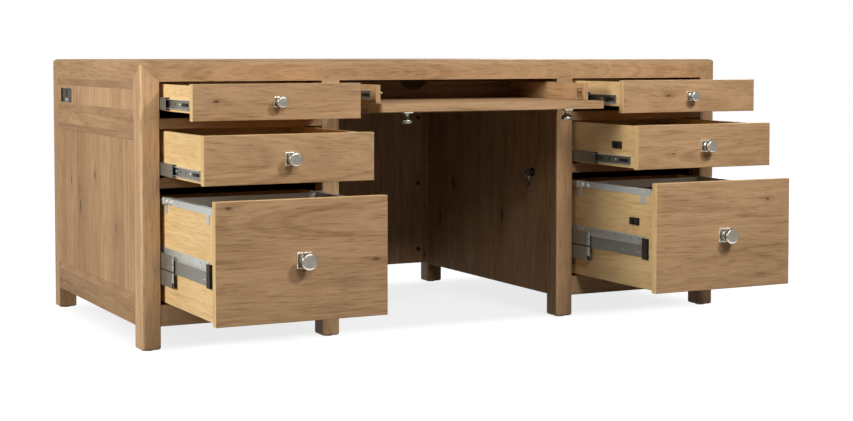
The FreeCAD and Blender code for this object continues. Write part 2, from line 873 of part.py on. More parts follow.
def swung_down(shape):
    """A piece of the drop front after it has turned down on its pivot."""
    turned = shape.copy()
    turned.rotate(Vector(0, pivot_y, pivot_z), Vector(1, 0, 0), 90)
    return turned


# Geometry of the lock, in the right pedestal
bar_x = kneehole_inner + bar_play
cam_x = bar_x + bar_thickness + cam_play
bar_travel = 2 * cam_radius * math.sin(math.radians(45))
rim_x = kneehole_face - plug_proud - key_neck_length - key_bow_radius
rim_z = lock_z - key_bow_radius + key_rim / 2


def lock_axis(x):
    """A point on the lock's axis."""
    return Vector(x, lock_y, lock_z)


def lock_housing():
    """The lock's flange and barrel in the kneehole side."""
    flange = rod(lock_flange_radius, lock_axis(kneehole_face - lock_flange_height), lock_axis(kneehole_face))
    barrel = rod(lock_barrel_radius, lock_axis(kneehole_face), lock_axis(kneehole_inner))
    bore = rod(plug_radius + plug_play, lock_axis(kneehole_face - lock_flange_height), lock_axis(kneehole_inner))
    return flange.fuse(barrel).removeSplitter().cut(bore)


def lock_plug():
    """The plug with its cam and pin, and the key standing in it, unlocked."""
    start = kneehole_face - lock_flange_height - plug_proud
    barrel = rod(plug_radius, lock_axis(start), lock_axis(kneehole_inner))
    shank = rod(shank_radius, lock_axis(kneehole_inner), lock_axis(cam_x + cam_thickness))
    cam = block(
        (cam_x, cam_x + cam_thickness),
        (lock_y - cam_width / 2, lock_y + cam_radius + cam_width / 2),
        (lock_z - cam_width / 2, lock_z + cam_width / 2),
    )
    pin_y = lock_y + cam_radius
    pin = rod(cam_pin_radius, Vector(bar_x, pin_y, lock_z), Vector(cam_x, pin_y, lock_z))
    turned = cam.fuse(pin)
    turned.rotate(lock_axis(0), Vector(1, 0, 0), -45)
    return barrel.multiFuse([shank, turned]).removeSplitter()


def flat_key(bow_z, bow_radius, hole_z, neck):
    """A flat key in the X-Z plane with a holed round bow."""
    y0 = lock_y - key_thickness / 2
    y1 = y0 + key_thickness
    bow = rod(bow_radius, Vector(rim_x, y0, bow_z), Vector(rim_x, y1, bow_z))
    hole = rod(key_hole_radius, Vector(rim_x, y0, hole_z), Vector(rim_x, y1, hole_z))
    return bow.fuse(neck).removeSplitter().cut(hole)


def key_in_lock():
    """The first key, from its bow to the face of the plug."""
    neck = block(
        (rim_x, kneehole_face - lock_flange_height - plug_proud),
        (lock_y - key_thickness / 2, lock_y + key_thickness / 2),
        (lock_z - key_neck_width / 2, lock_z + key_neck_width / 2),
    )
    hole_z = rim_z + key_rim / 2 + key_hole_radius
    return flat_key(lock_z, key_bow_radius, hole_z, neck)


def spare_key():
    """The ring through the first key's bow, and the spare key that hangs from it."""
    ring_z = rim_z - ring_radius + key_rim / 2 + ring_wire_radius + ring_play
    ring = Part.makeTorus(ring_radius, ring_wire_radius, Vector(rim_x, lock_y, ring_z), Vector(1, 0, 0))
    hole_top = ring_z - ring_radius + ring_wire_radius + spare_rim_play
    bow_z = hole_top + spare_rim - spare_bow_radius
    blade = block(
        (rim_x - spare_blade_width / 2, rim_x + spare_blade_width / 2),
        (lock_y - key_thickness / 2, lock_y + key_thickness / 2),
        (bow_z - spare_bow_radius - spare_blade_length, bow_z - spare_bow_radius / 2),
    )
    return [ring, flat_key(bow_z, spare_bow_radius, hole_top - key_hole_radius, blade)]


def catch_slot_depth():
    """How deep a lowered peg's slot in a catch has to be."""
    return bar_travel - peg_play + catch_slot_play


def lock_catch(name):
    """The catch on the side of a closed drawer, with a slot below for the lock bar's peg."""
    side_x = drawer_centre - drawer_half + runner_gap
    zs = (catch_z[name], catch_z[name] + catch_height)
    xs = (side_x - catch_thickness, side_x)
    body = block(xs, (bar_y - catch_length / 2, bar_y + catch_length / 2), zs)
    slot_half = peg_width / 2 + catch_slot_play
    return body.cut(block(xs, (bar_y - slot_half, bar_y + slot_half), (zs[0], zs[0] + catch_slot_depth())))


def lock_bar():
    """The bar that the lock lifts, with a peg for each locked drawer, lowered."""
    xs = (bar_x, bar_x + bar_thickness)
    peg_tops = {name: z - peg_play for name, z in catch_z.items()}
    low = min(peg_tops.values()) - peg_height
    high = max(peg_tops.values())
    spine = block(xs, (bar_y - bar_width / 2, bar_y + bar_width / 2), (low, high))
    tab_y = lock_y + cam_radius + cam_pin_radius + slot_play + bar_tab_margin
    window_half = shank_radius + slot_play
    window_zs = (lock_z - bar_travel - window_half, lock_z + window_half)
    tab = block(xs, (bar_y, tab_y), (window_zs[0] - bar_tab_margin, window_zs[1] + bar_tab_margin))
    reach = drawer_centre - drawer_half + runner_gap - peg_reach_play
    pegs = []
    for top in peg_tops.values():
        pegs.append(block((bar_x, reach), (bar_y - peg_width / 2, bar_y + peg_width / 2), (top - peg_height, top)))
    bar = spine.multiFuse([tab] + pegs).removeSplitter()
    window = block(xs, (lock_y - window_half, lock_y + window_half), window_zs)
    pin_low = cam_radius * math.cos(math.radians(45)) - cam_pin_radius - slot_play
    pin_high = cam_radius + cam_pin_radius + slot_play
    pin_z = lock_z - bar_travel / 2
    slot_half = cam_pin_radius + slot_play
    slot = block(xs, (lock_y + pin_low, lock_y + pin_high), (pin_z - slot_half, pin_z + slot_half))
    return bar.cut(window).cut(slot)


nodes = {}


def add(name, shapes):
    """Put solids into a named sub-part."""
    nodes.setdefault(name, []).extend(shapes)


def add_carcase():
    """The top unit, the pedestals and everything fixed to them."""
    panel, top_rails, upper_posts = top_unit(envelope())
    add("top_panel", [panel])
    add("top_edge_rails", top_rails)
    add("upper_posts", upper_posts)
    ends, back = upper_frames()
    add("upper_end_panels", ends)
    add("upper_back_panel", back)
    add("upper_partitions", upper_partitions())
    frame_rails, frame_panels = pedestal_frames()
    left_groups = {
        "pedestal_posts": pedestal_posts(),
        "pedestal_rails": front_rails() + frame_rails,
        "pedestal_panels": frame_panels,
        "foot_glides": foot_glides(),
    }
    for name, shapes in left_groups.items():
        add(name, shapes + [mirrored(shape) for shape in shapes])
    side, bottom, top = pedestal_boards()
    lock_hole = rod(lock_barrel_radius, lock_axis(kneehole_face), lock_axis(kneehole_inner))
    add("pedestal_panels", [side, mirrored(side).cut(lock_hole)])
    add("pedestal_panels", [bottom, mirrored(bottom), top, mirrored(top)])
    add("modesty_panel", [modesty_panel()])
    add("joining_bolts", joining_bolts())
    add("power_outlet", power_outlet())
    add("lock_housing", [lock_housing()])
    for kind in ("upper", "middle", "file"):
        outer = outer_cleat(kind)
        add("runner_cleats", [outer, mirrored(outer)])
    for kind in ("middle", "file"):
        add("runner_cleats", inner_cleats(kind, False))
        add("runner_cleats", [mirrored(cleat) for cleat in inner_cleats(kind, True)])


def add_drawers():
    """The six pedestal drawers where they stand open, and their fixed runners."""
    for name, out in drawer_out.items():
        kind, side = name.split("_")
        x = drawer_centre if side == "right" else -drawer_centre
        pieces = pedestal_drawer(kind)
        for piece in ("front", "box", "knob", "runners"):
            add(f"{name}_{piece}", [moved(shape, x, -out, 0) for shape in pieces[piece]])
        add(f"{name}_middle_runners", [moved(shape, x, -member_out[name], 0) for shape in pieces["middle"]])
        add("fixed_runners", [moved(shape, x, 0, 0) for shape in pieces["fixed"]])
        if kind == "file":
            add(f"{name}_hanging_rails", [moved(shape, x, -out, 0) for shape in file_rails()])
        if name in catch_z:
            add(f"{name}_lock_catch", [moved(lock_catch(name), 0, -out, 0)])


def add_keyboard_tray():
    """The tray where it stands open, with its front swung down."""
    members = side_runner(tray_runner_z, tray_runner_length)
    wall = knee - tray_packer
    fixed, middle, drawer = [
        [half_shape for shape in group for half_shape in both_sides(shape, wall)] for group in members
    ]
    packer = tray_packing()
    add("runner_cleats", [packer, mirrored(packer)])
    panel, pins = drop_front()
    add("keyboard_tray", [moved(shape, 0, -tray_out, 0) for shape in keyboard_tray()])
    add("tray_runners", [moved(shape, 0, -tray_out, 0) for shape in drawer])
    add("tray_middle_runners", [moved(shape, 0, -tray_member_out, 0) for shape in middle])
    add("fixed_runners", fixed)
    add("tray_hinge_leaves", [moved(shape, 0, -tray_out, 0) for shape in hinge_leaves()])
    add("drop_front", [moved(swung_down(panel), 0, -tray_out, 0)])
    add("drop_front_pins", [moved(swung_down(pin), 0, -tray_out, 0) for pin in pins])
    add("drop_front_knobs", [moved(swung_down(piece), 0, -tray_out, 0) for piece in tray_knobs()])


def add_lock():
    """The lock's moving pieces, unlocked."""
    add("lock_plug_and_key", [lock_plug(), key_in_lock()])
    add("lock_bar", [lock_bar()])
    add("spare_key", spare_key())


def build():
    """Make every sub-part and write one file for each."""
    add_carcase()
    add_drawers()
    add_keyboard_tray()
    add_lock()
    os.makedirs("parts", exist_ok=True)
    for name, shapes in nodes.items():
        whole = Part.makeCompound(shapes)
        whole.translate(Vector(0, -origin_y, 0))
        whole.exportStep(f"parts/{name}.step")
    print(len(nodes), "sub-parts, height", height, "front reach", front_reach, "origin at y", origin_y)


build()
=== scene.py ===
"""Looks of an oak pedestal desk: boards with their own grain, nickel knobs and steel runners."""

import math
import random

import bmesh
import bpy
from mathutils import Matrix, Vector


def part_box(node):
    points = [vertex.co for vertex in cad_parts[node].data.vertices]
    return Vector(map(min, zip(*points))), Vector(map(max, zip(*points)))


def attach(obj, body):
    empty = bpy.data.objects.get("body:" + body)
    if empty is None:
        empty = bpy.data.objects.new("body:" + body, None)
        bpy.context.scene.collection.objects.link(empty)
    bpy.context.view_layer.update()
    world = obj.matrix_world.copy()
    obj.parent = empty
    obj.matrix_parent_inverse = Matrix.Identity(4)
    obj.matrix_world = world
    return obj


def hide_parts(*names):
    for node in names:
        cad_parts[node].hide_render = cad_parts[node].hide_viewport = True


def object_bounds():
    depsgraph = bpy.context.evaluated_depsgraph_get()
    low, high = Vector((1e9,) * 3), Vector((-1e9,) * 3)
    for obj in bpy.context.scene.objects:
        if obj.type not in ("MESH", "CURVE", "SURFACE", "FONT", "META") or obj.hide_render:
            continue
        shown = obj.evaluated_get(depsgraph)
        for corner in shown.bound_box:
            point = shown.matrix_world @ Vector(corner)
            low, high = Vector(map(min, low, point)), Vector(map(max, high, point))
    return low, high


bl_info = {
    "name": "Oak pedestal desk",
    "version": (1, 0, 0),
    "blender": (4, 5, 0),
    "location": "View3D > Sidebar > Desk",
    "description": "Dresses the desk's solids in oak, nickel, steel and plastic",
    "category": "Object",
}

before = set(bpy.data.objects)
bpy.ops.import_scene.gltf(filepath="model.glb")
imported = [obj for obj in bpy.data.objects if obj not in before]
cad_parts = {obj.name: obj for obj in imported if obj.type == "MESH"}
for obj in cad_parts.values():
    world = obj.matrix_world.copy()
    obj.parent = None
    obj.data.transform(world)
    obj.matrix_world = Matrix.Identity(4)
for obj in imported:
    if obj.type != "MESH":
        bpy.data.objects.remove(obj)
cad_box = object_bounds()

drawer_names = ("upper_left", "middle_left", "file_left", "upper_right", "middle_right", "file_right")
file_drawers = ("file_left", "file_right")

# Places in the frame: the carcase's front, the kneehole's sides, and a depth between front and rear posts
CARCASE_FRONT = -0.2135
KNEEHOLE_SIDE = 0.349
MID_DEPTH = 0.2

# Degrees past which an edge is drawn sharp, on most pieces, on frames with chamfers and on knobs
CREASE = 28.0
CHAMFER_CREASE = 8.0
KNOB_CREASE = 35.0

# Rounding of a board's edges: degrees past which an edge is rounded, and its steps
EASE_LIMIT = 40.0
EASE_STEPS = 2

# A face whose normal has more than this along an axis looks that way
FACING = 0.7

# Tones of boards inside the carcase, darkened as painted shade where they stay in the dark, and of the chamfers, which
# are darker
INSIDE_SHADE_TONE = -6.0
CHAMFER_TONE = -1.3


# Sizes and colours that a user would change


class DeskWood(bpy.types.PropertyGroup):
    """Colours and figure of the desk's oak and of the drawer boxes."""

    oak_light: bpy.props.FloatVectorProperty(
        name="Oak light", description="Oak between its growth rings",
        subtype="COLOR", size=3, min=0.0, max=1.0, default=(0.545, 0.341, 0.182),
    )
    oak_dark: bpy.props.FloatVectorProperty(
        name="Oak dark", description="Oak along its growth rings and pores",
        subtype="COLOR", size=3, min=0.0, max=1.0, default=(0.280, 0.152, 0.069),
    )
    box_light: bpy.props.FloatVectorProperty(
        name="Drawer wood light", description="Pale wood of the drawer boxes",
        subtype="COLOR", size=3, min=0.0, max=1.0, default=(0.920, 0.675, 0.362),
    )
    box_dark: bpy.props.FloatVectorProperty(
        name="Drawer wood dark", description="Figure lines of the drawer boxes",
        subtype="COLOR", size=3, min=0.0, max=1.0, default=(0.660, 0.410, 0.172),
    )
    ring_spacing: bpy.props.FloatProperty(
        name="Ring spacing", description="Width of a year's growth across the grain", unit="LENGTH", default=0.0050
    )
    eased_edge: bpy.props.FloatProperty(
        name="Eased edge", description="Rounding sanded on the edges of every board", unit="LENGTH", default=0.0012
    )


class DeskMetal(bpy.types.PropertyGroup):
    """Colours of the knobs, runners and plastic fittings."""

    nickel: bpy.props.FloatVectorProperty(
        name="Nickel", description="Satin nickel of the knobs and the lock",
        subtype="COLOR", size=3, min=0.0, max=1.0, default=(0.285, 0.262, 0.222),
    )
    zinc: bpy.props.FloatVectorProperty(
        name="Zinc", description="Bright zinc on the steel runners",
        subtype="COLOR", size=3, min=0.0, max=1.0, default=(0.56, 0.59, 0.57),
    )
    steel: bpy.props.FloatVectorProperty(
        name="Steel", description="Duller steel of the runners' inner members",
        subtype="COLOR", size=3, min=0.0, max=1.0, default=(0.27, 0.265, 0.24),
    )
    rail_grey: bpy.props.FloatVectorProperty(
        name="Rail grey", description="Matt grey of the hanging-file rails",
        subtype="COLOR", size=3, min=0.0, max=1.0, default=(0.55, 0.58, 0.57),
    )
    leaf: bpy.props.FloatVectorProperty(
        name="Hinge leaf", description="Bronzed leaves of the drop front's hinges",
        subtype="COLOR", size=3, min=0.0, max=1.0, default=(0.36, 0.24, 0.12),
    )
    # bright nickel stands for a painted reflection and highlight on the knobs' lower rims and their plates' rims
    bright: bpy.props.FloatVectorProperty(
        name="Bright nickel", description="Polished rims of the knobs and their plates",
        subtype="COLOR", size=3, min=0.0, max=1.0, default=(0.84, 0.79, 0.72),
    )
    # the channel steel is darker than the zinc strip above it
    channel: bpy.props.FloatVectorProperty(
        name="Channel steel", description="Dull channels of the heavy runners",
        subtype="COLOR", size=3, min=0.0, max=1.0, default=(0.24, 0.23, 0.20),
    )
    plastic: bpy.props.FloatVectorProperty(
        name="Black plastic", description="Catches, caps and levers",
        subtype="COLOR", size=3, min=0.0, max=1.0, default=(0.014, 0.012, 0.0105),
    )
    outlet: bpy.props.FloatVectorProperty(
        name="Outlet", description="Dark grey plastic of the power outlet",
        subtype="COLOR", size=3, min=0.0, max=1.0, default=(0.052, 0.046, 0.038),
    )


class DeskStage(bpy.types.PropertyGroup):
    """Camera and studio light."""

    camera_place: bpy.props.FloatVectorProperty(
        name="Camera place",
        description="Where the camera stands",
        subtype="TRANSLATION",
        unit="LENGTH",
        size=3,
        default=(-2.18129, -4.36054, 0.78059),
    )
    camera_yaw: bpy.props.FloatProperty(
        name="Camera yaw",
        description="Turn of the view to the right of the desk's depth",
        subtype="ANGLE",
        default=math.radians(26.8522),
    )
    camera_pitch: bpy.props.FloatProperty(
        name="Camera pitch",
        description="Tilt of the view below the horizon",
        subtype="ANGLE",
        default=math.radians(2.7986),
    )
    lens: bpy.props.FloatProperty(name="Lens", description="Focal length in millimetres", default=69.6426)
    shift: bpy.props.FloatProperty(
        name="Lens shift", description="Fall of the frame below the optical axis", default=-0.09
    )
    key_power: bpy.props.FloatProperty(
        name="Key light", description="Small light above the front", unit="POWER", default=56.0
    )
    side_power: bpy.props.FloatProperty(
        name="Side light", description="Soft light at the left", unit="POWER", default=195.0
    )
    front_power: bpy.props.FloatProperty(
        name="Front light", description="Soft light at the front left", unit="POWER", default=114.0
    )
    back_power: bpy.props.FloatProperty(
        name="Back light", description="Soft light behind the right end", unit="POWER", default=150.0
    )
    surround: bpy.props.FloatProperty(
        name="Surround", description="Light from all round", subtype="FACTOR", default=0.016
    )


# Node wiring


class Wiring:
    """Adds nodes to a tree and joins them; most calls return an output socket."""

    def __init__(self, tree):
        self.tree = tree

    def feed(self, value, socket):
        """Links an output to a socket, or sets the socket to a plain value."""
        if isinstance(value, bpy.types.NodeSocket):
            self.tree.links.new(value, socket)
        else:
            socket.default_value = value

    def put(self, kind, inputs, output=0, **settings):
        node = self.tree.nodes.new(kind)
        for key, value in settings.items():
            setattr(node, key, value)
        for key, value in inputs.items():
            self.feed(value, node.inputs[key])
        return node.outputs[output] if node.outputs else None

    def group(self, tree, inputs):
        """A shader group placed with its own values; returns all its outputs."""
        node = self.tree.nodes.new("ShaderNodeGroup")
        node.node_tree = tree
        for key, value in inputs.items():
            self.feed(value, node.inputs[key])
        return node.outputs

    def math(self, operation, first, second=0.0):
        return self.put("ShaderNodeMath", {0: first, 1: second}, operation=operation)

    def times(self, first, second):
        return self.math("MULTIPLY", first, second)

    def plus(self, first, second):
        return self.math("ADD", first, second)

    def minus(self, first, second):
        return self.math("SUBTRACT", first, second)

    def over(self, first, second):
        return self.math("DIVIDE", first, second)

    def larger(self, first, second):
        return self.math("MAXIMUM", first, second)

    def length(self, first, second):
        """Length of a line with two square components."""
        return self.math("SQRT", self.plus(self.times(first, first), self.times(second, second)))

    def ramp(self, value, low, high, to_low=0.0, to_high=1.0):
        inputs = {"Value": value, "From Min": low, "From Max": high, "To Min": to_low, "To Max": to_high}
        return self.put("ShaderNodeMapRange", inputs, interpolation_type="SMOOTHSTEP")

    def noise(self, vector, detail=2.0, scale=1.0, rough=0.5):
        inputs = {"Vector": vector, "Scale": scale, "Detail": detail, "Roughness": rough}
        return self.put("ShaderNodeTexNoise", inputs, noise_dimensions="3D")

    def stretch(self, vector, scale, shift):
        inputs = {0: vector, 1: scale, 2: shift}
        return self.put("ShaderNodeVectorMath", inputs, operation="MULTIPLY_ADD")

    def blend(self, factor, first, second, kind="MIX"):
        inputs = {0: factor, 6: first, 7: second}
        return self.put("ShaderNodeMix", inputs, output=2, data_type="RGBA", blend_type=kind)

    def split(self, vector):
        node = self.tree.nodes.new("ShaderNodeSeparateXYZ")
        self.tree.links.new(vector, node.inputs[0])
        return node.outputs[0], node.outputs[1], node.outputs[2]

    def join(self, x, y, z):
        return self.put("ShaderNodeCombineXYZ", {0: x, 1: y, 2: z})

    def attribute(self, name):
        return self.put("ShaderNodeAttribute", {}, "Vector", attribute_name=name)

    def place(self):
        return self.put("ShaderNodeTexCoord", {}, "Object")

    def seen_directly(self):
        """1 for camera, glossy and transmission rays."""
        path = self.tree.nodes.new("ShaderNodeLightPath")
        camera, glossy, through = (path.outputs[f"Is {kind} Ray"] for kind in ("Camera", "Glossy", "Transmission"))
        return self.larger(self.larger(camera, glossy), through)


def new_group(name, inputs, outputs):
    """An empty shader group with named sockets, and the wiring inside it."""
    tree = bpy.data.node_groups.new(name, "ShaderNodeTree")
    kinds = {"vector": "NodeSocketVector", "colour": "NodeSocketColor", "value": "NodeSocketFloat"}
    for labels, way in ((inputs, "INPUT"), (outputs, "OUTPUT")):
        for label, kind in labels.items():
            tree.interface.new_socket(name=label, in_out=way, socket_type=kinds[kind])
    given = tree.nodes.new("NodeGroupInput")
    result = tree.nodes.new("NodeGroupOutput")
    return tree, Wiring(tree), given.outputs, result.inputs


KNOT_COLOUR = (0.045, 0.022, 0.010, 1.0)


def board_group():
    """Figure of one board: growth rings round a pith, streaks, pores and a knot."""
    group = bpy.data.node_groups.get("board_figure")
    if group:
        return group
    inputs = {
        "Grain": "vector",
        "Board": "vector",
        "Knot": "vector",
        "Ring Spacing": "value",
        "Light": "colour",
        "Dark": "colour",
        "Contrast": "value",
    }
    outputs = {"Colour": "colour", "Height": "value", "Roughness": "value"}
    group, w, given, result = new_group("board_figure", inputs, outputs)
    tone, seed, figure = w.split(given["Board"])
    shift = w.join(seed, w.times(seed, 1.7), w.times(seed, 2.3))
    along, across, through = w.split(given["Grain"])
    knot_along, knot_across, knot_size = w.split(given["Knot"])

    def fleck(scale, source=given["Grain"], detail=2.0, rough=0.5):
        """Noise drawn out along the grain, with a place of its own on each board."""
        return w.noise(w.stretch(source, scale, shift), detail, rough=rough)

    # the knot, drawn out along the grain, and the rings that flow round it
    knot_distance = w.length(w.times(w.minus(along, knot_along), 0.42), w.minus(across, knot_across))
    away = w.times(knot_distance, w.plus(0.35, w.times(fleck((80.0, 260.0, 260.0)), 1.3)))
    spans = w.over(away, w.larger(knot_size, 0.0005))
    bulge = w.over(w.times(knot_size, 1.6), w.plus(1.0, w.times(w.times(spans, spans), 0.16)))
    core = w.ramp(spans, 0.30, 1.20, 1.0, 0.0)
    halo = w.ramp(spans, 1.0, 4.5, 1.0, 0.0)

    # growth rings round the pith, bent by the tree's slow sway
    sway = fleck((1.2, 4.0, 4.0))
    wander = fleck((4.5, 24.0, 24.0))
    drift = w.plus(w.times(w.minus(sway, 0.5), 0.020), w.times(w.minus(wander, 0.5), 0.007))
    side = w.plus(across, w.times(drift, 0.6))
    radius = w.plus(w.length(side, w.plus(through, drift)), bulge)
    rings = w.math("FRACT", w.over(radius, given["Ring Spacing"]))
    early = w.larger(w.ramp(rings, 0.0, 0.45, 1.0, 0.0), w.ramp(rings, 0.88, 1.0))
    broken = w.ramp(fleck((7.0, 40.0, 40.0)), 0.40, 0.66)
    ring_mark = w.times(w.times(early, w.plus(0.15, w.times(broken, 0.85))), figure)

    # bands and lines that follow the rings, pores, and slow changes of colour
    flow = w.join(along, radius, 0.0)
    band = w.ramp(fleck((3.0, 130.0, 1.0), flow, 3.0, 0.6), 0.38, 0.68)
    line = w.ramp(fleck((11.0, 270.0, 1.0), flow), 0.42, 0.70)
    dash = w.ramp(fleck((17.0, 230.0, 230.0)), 0.50, 0.74)
    streak = w.ramp(fleck((3.5, 70.0, 70.0), detail=3.0), 0.52, 0.74)
    cloud = w.ramp(fleck((1.5, 7.0, 7.0)), 0.32, 0.68)
    pore = w.ramp(fleck((45.0, 1100.0, 1100.0)), 0.54, 0.70)
    pore_mark = w.times(pore, w.plus(0.35, w.times(early, 0.65)))

    # how much each mark darkens the wood
    mark = w.times(ring_mark, 0.10)
    shares = (
        (w.times(band, figure), 0.17),
        (line, 0.18),
        (dash, 0.34),
        (streak, 0.22),
        (cloud, 0.20),
        (pore_mark, 0.20),
        (halo, 0.16),
    )
    for part, share in shares:
        mark = w.plus(mark, w.times(part, share))
    mark = w.math("MINIMUM", w.times(mark, given["Contrast"]), 1.0)
    plain = w.blend(mark, given["Light"], given["Dark"])

    # the board's tone, which is a little yellower where it is darker, and the dark knot
    red = w.plus(1.0, w.times(tone, 0.12))
    green = w.times(red, w.plus(1.0, w.times(tone, 0.02)))
    blue = w.times(red, w.plus(1.0, w.times(tone, 0.05)))
    toned = w.blend(1.0, plain, w.join(red, green, blue), "MULTIPLY")
    w.feed(w.blend(w.times(core, 0.78), toned, KNOT_COLOUR), result["Colour"])
    hollow = w.plus(w.times(pore_mark, 0.7), w.plus(w.times(early, 0.15), w.times(core, 0.5)))
    w.feed(w.minus(1.0, hollow), result["Height"])
    rough = w.plus(0.56, w.plus(w.times(band, 0.08), w.times(pore_mark, 0.12)))
    w.feed(rough, result["Roughness"])
    return group


def smudge_group():
    """Patchy sheen of handled or plated metal and moulded plastic."""
    group = bpy.data.node_groups.get("surface_smudge")
    if group:
        return group
    inputs = {"Place": "vector", "Patch Scale": "value", "Grit Scale": "value"}
    outputs = {"Patch": "value", "Grit": "value"}
    group, w, given, result = new_group("surface_smudge", inputs, outputs)
    patch = w.noise(given["Place"], 3.0, given["Patch Scale"], 0.6)
    w.feed(w.ramp(patch, 0.3, 0.7), result["Patch"])
    w.feed(w.noise(given["Place"], 2.0, given["Grit Scale"]), result["Grit"])
    return group


# Materials

# Figure contrast, gloss and polish of the woods, and the properties that hold their two colours
WOODS = {
    "oak_lacquered": dict(light="oak_light", dark="oak_dark", contrast=1.3, gloss=0.18, polish=0.0),
    "oak_polished": dict(light="oak_light", dark="oak_dark", contrast=1.3, gloss=0.22, polish=0.10),
    "drawer_wood_clear": dict(light="box_light", dark="box_dark", contrast=1.3, gloss=0.22, polish=0.0),
}
WOOD_RELIEF = (0.25, 0.0004)

# Metals: property of the colour, shade of the duller patches, roughness, scales of patches and grit, relief
METALS = {
    "satin_nickel_plate": dict(tint="nickel", shade=0.86, rough=0.27, scales=(60.0, 1500.0), relief=0.08),
    "bright_nickel_plate": dict(tint="bright", shade=0.92, rough=0.22, scales=(60.0, 1500.0), relief=0.05),
    "zinc_plate": dict(tint="zinc", shade=0.90, rough=0.42, scales=(55.0, 900.0), relief=0.12, metallic=0.65),
    "dull_steel": dict(tint="steel", shade=0.86, rough=0.42, scales=(55.0, 900.0), relief=0.12, metallic=0.75),
    "channel_steel": dict(tint="channel", shade=0.86, rough=0.40, scales=(55.0, 900.0), relief=0.12, metallic=0.85),
    "matt_grey_rail": dict(tint="rail_grey", shade=0.93, rough=0.50, scales=(40.0, 1200.0), relief=0.10, metallic=0.30),
    "bronzed_leaf": dict(tint="leaf", shade=0.85, rough=0.45, scales=(60.0, 1200.0), relief=0.10, metallic=0.60),
}

PLASTICS = {"black_plastic_moulded": "plastic", "outlet_grey_moulded": "outlet"}
PLASTIC_SCALES = (40.0, 2200.0)
PLASTIC_RELIEF = 0.2
PLASTIC_GLOSS = 0.14

GRIT_DEPTH = 0.0002


def new_material(name):
    """A material with its Principled shader and the wiring round it."""
    material = bpy.data.materials.new(name)
    material.use_nodes = True
    tree = material.node_tree
    shader = next(n for n in tree.nodes if n.type == "BSDF_PRINCIPLED")
    return material, Wiring(tree), shader


def bump(w, shader, height, strength, distance):
    """Relief on a shader from a height."""
    inputs = {"Strength": strength, "Distance": distance, "Height": height}
    w.feed(w.put("ShaderNodeBump", inputs), shader.inputs["Normal"])


def opaque(colour):
    return (*colour, 1.0)


def smudges(w, scales):
    """Patches and grit of a surface at the scales given."""
    inputs = {"Place": w.place(), "Patch Scale": scales[0], "Grit Scale": scales[1]}
    return w.group(smudge_group(), inputs)


def wood(name):
    """Boards of one kind of wood, each with its own grain."""
    found = bpy.data.materials.get(name)
    if found:
        return found
    kind = WOODS[name]
    look = bpy.context.scene.desk_wood
    material, w, shader = new_material(name)
    inputs = {
        "Grain": w.attribute("grain"),
        "Board": w.attribute("board"),
        "Knot": w.attribute("knot"),
        "Ring Spacing": look.ring_spacing,
        "Light": opaque(getattr(look, kind["light"])),
        "Dark": opaque(getattr(look, kind["dark"])),
        "Contrast": kind["contrast"],
    }
    figure = w.group(board_group(), inputs)
    w.feed(figure["Colour"], shader.inputs["Base Color"])
    w.feed(w.minus(figure["Roughness"], kind["polish"]), shader.inputs["Roughness"])
    shader.inputs["Specular IOR Level"].default_value = kind["gloss"]
    bump(w, shader, figure["Height"], *WOOD_RELIEF)
    return material


def metal(name):
    """Plated metal with a patchy sheen."""
    found = bpy.data.materials.get(name)
    if found:
        return found
    kind = METALS[name]
    colour = getattr(bpy.context.scene.desk_metal, kind["tint"])
    duller = [part * kind["shade"] for part in colour]
    material, w, shader = new_material(name)
    sheen = smudges(w, kind["scales"])
    w.feed(w.blend(sheen["Patch"], opaque(duller), opaque(colour)), shader.inputs["Base Color"])
    uneven = w.plus(kind["rough"] - 0.05, w.times(sheen["Patch"], 0.07))
    w.feed(w.plus(uneven, w.times(sheen["Grit"], 0.06)), shader.inputs["Roughness"])
    shader.inputs["Metallic"].default_value = kind.get("metallic", 1.0)
    bump(w, shader, sheen["Grit"], kind["relief"], GRIT_DEPTH)
    return material


def plastic(name):
    """Moulded plastic with a fine grit."""
    found = bpy.data.materials.get(name)
    if found:
        return found
    colour = getattr(bpy.context.scene.desk_metal, PLASTICS[name])
    worn = [min(1.0, part * 1.5 + 0.004) for part in colour]
    material, w, shader = new_material(name)
    sheen = smudges(w, PLASTIC_SCALES)
    w.feed(w.blend(sheen["Patch"], opaque(colour), opaque(worn)), shader.inputs["Base Color"])
    w.feed(w.plus(0.42, w.times(sheen["Grit"], 0.16)), shader.inputs["Roughness"])
    shader.inputs["Specular IOR Level"].default_value = PLASTIC_GLOSS
    bump(w, shader, sheen["Grit"], PLASTIC_RELIEF, GRIT_DEPTH)
    return material


def oak():
    return wood("oak_lacquered")


def post_oak():
    return wood("oak_polished")


def drawer_wood():
    return wood("drawer_wood_clear")


def nickel():
    return metal("satin_nickel_plate")


def bright_nickel():
    return metal("bright_nickel_plate")


def zinc():
    return metal("zinc_plate")


def steel():
    return metal("dull_steel")


def black_plastic():
    return plastic("black_plastic_moulded")


# Boards


class Board:
    """How one board was sawn: its axes, its place in the log, its tone and its knot."""

    no_knot = (9.0, 9.0, 0.001)

    def __init__(self, key, axes, figure=1.0, tone=None, knot=None, tilt=None, depth=None, look=0):
        dice = random.Random(key)
        self.axes = ["xyz".index(letter) for letter in axes]
        self.tone = dice.uniform(-0.8, 0.8) if tone is None else tone
        self.seed = dice.uniform(0.0, 40.0)
        self.figure = figure
        self.side = dice.uniform(-0.03, 0.03)
        turned = dice.choice((-1.0, 1.0))
        self.depth = turned * dice.uniform(0.05, 0.12) if depth is None else depth
        self.tilt = dice.uniform(-0.025, 0.025) if tilt is None else tilt
        self.look = look
        self.knot = knot or self.no_knot
        self.centre = None

    def grain(self, place):
        local = place - self.centre
        along, across, through = (local[i] for i in self.axes)
        return Vector((along, across + self.side, through + self.depth + self.tilt * along))

    def knot_place(self):
        along, across, size = self.knot
        return Vector((along, across + self.side, size))


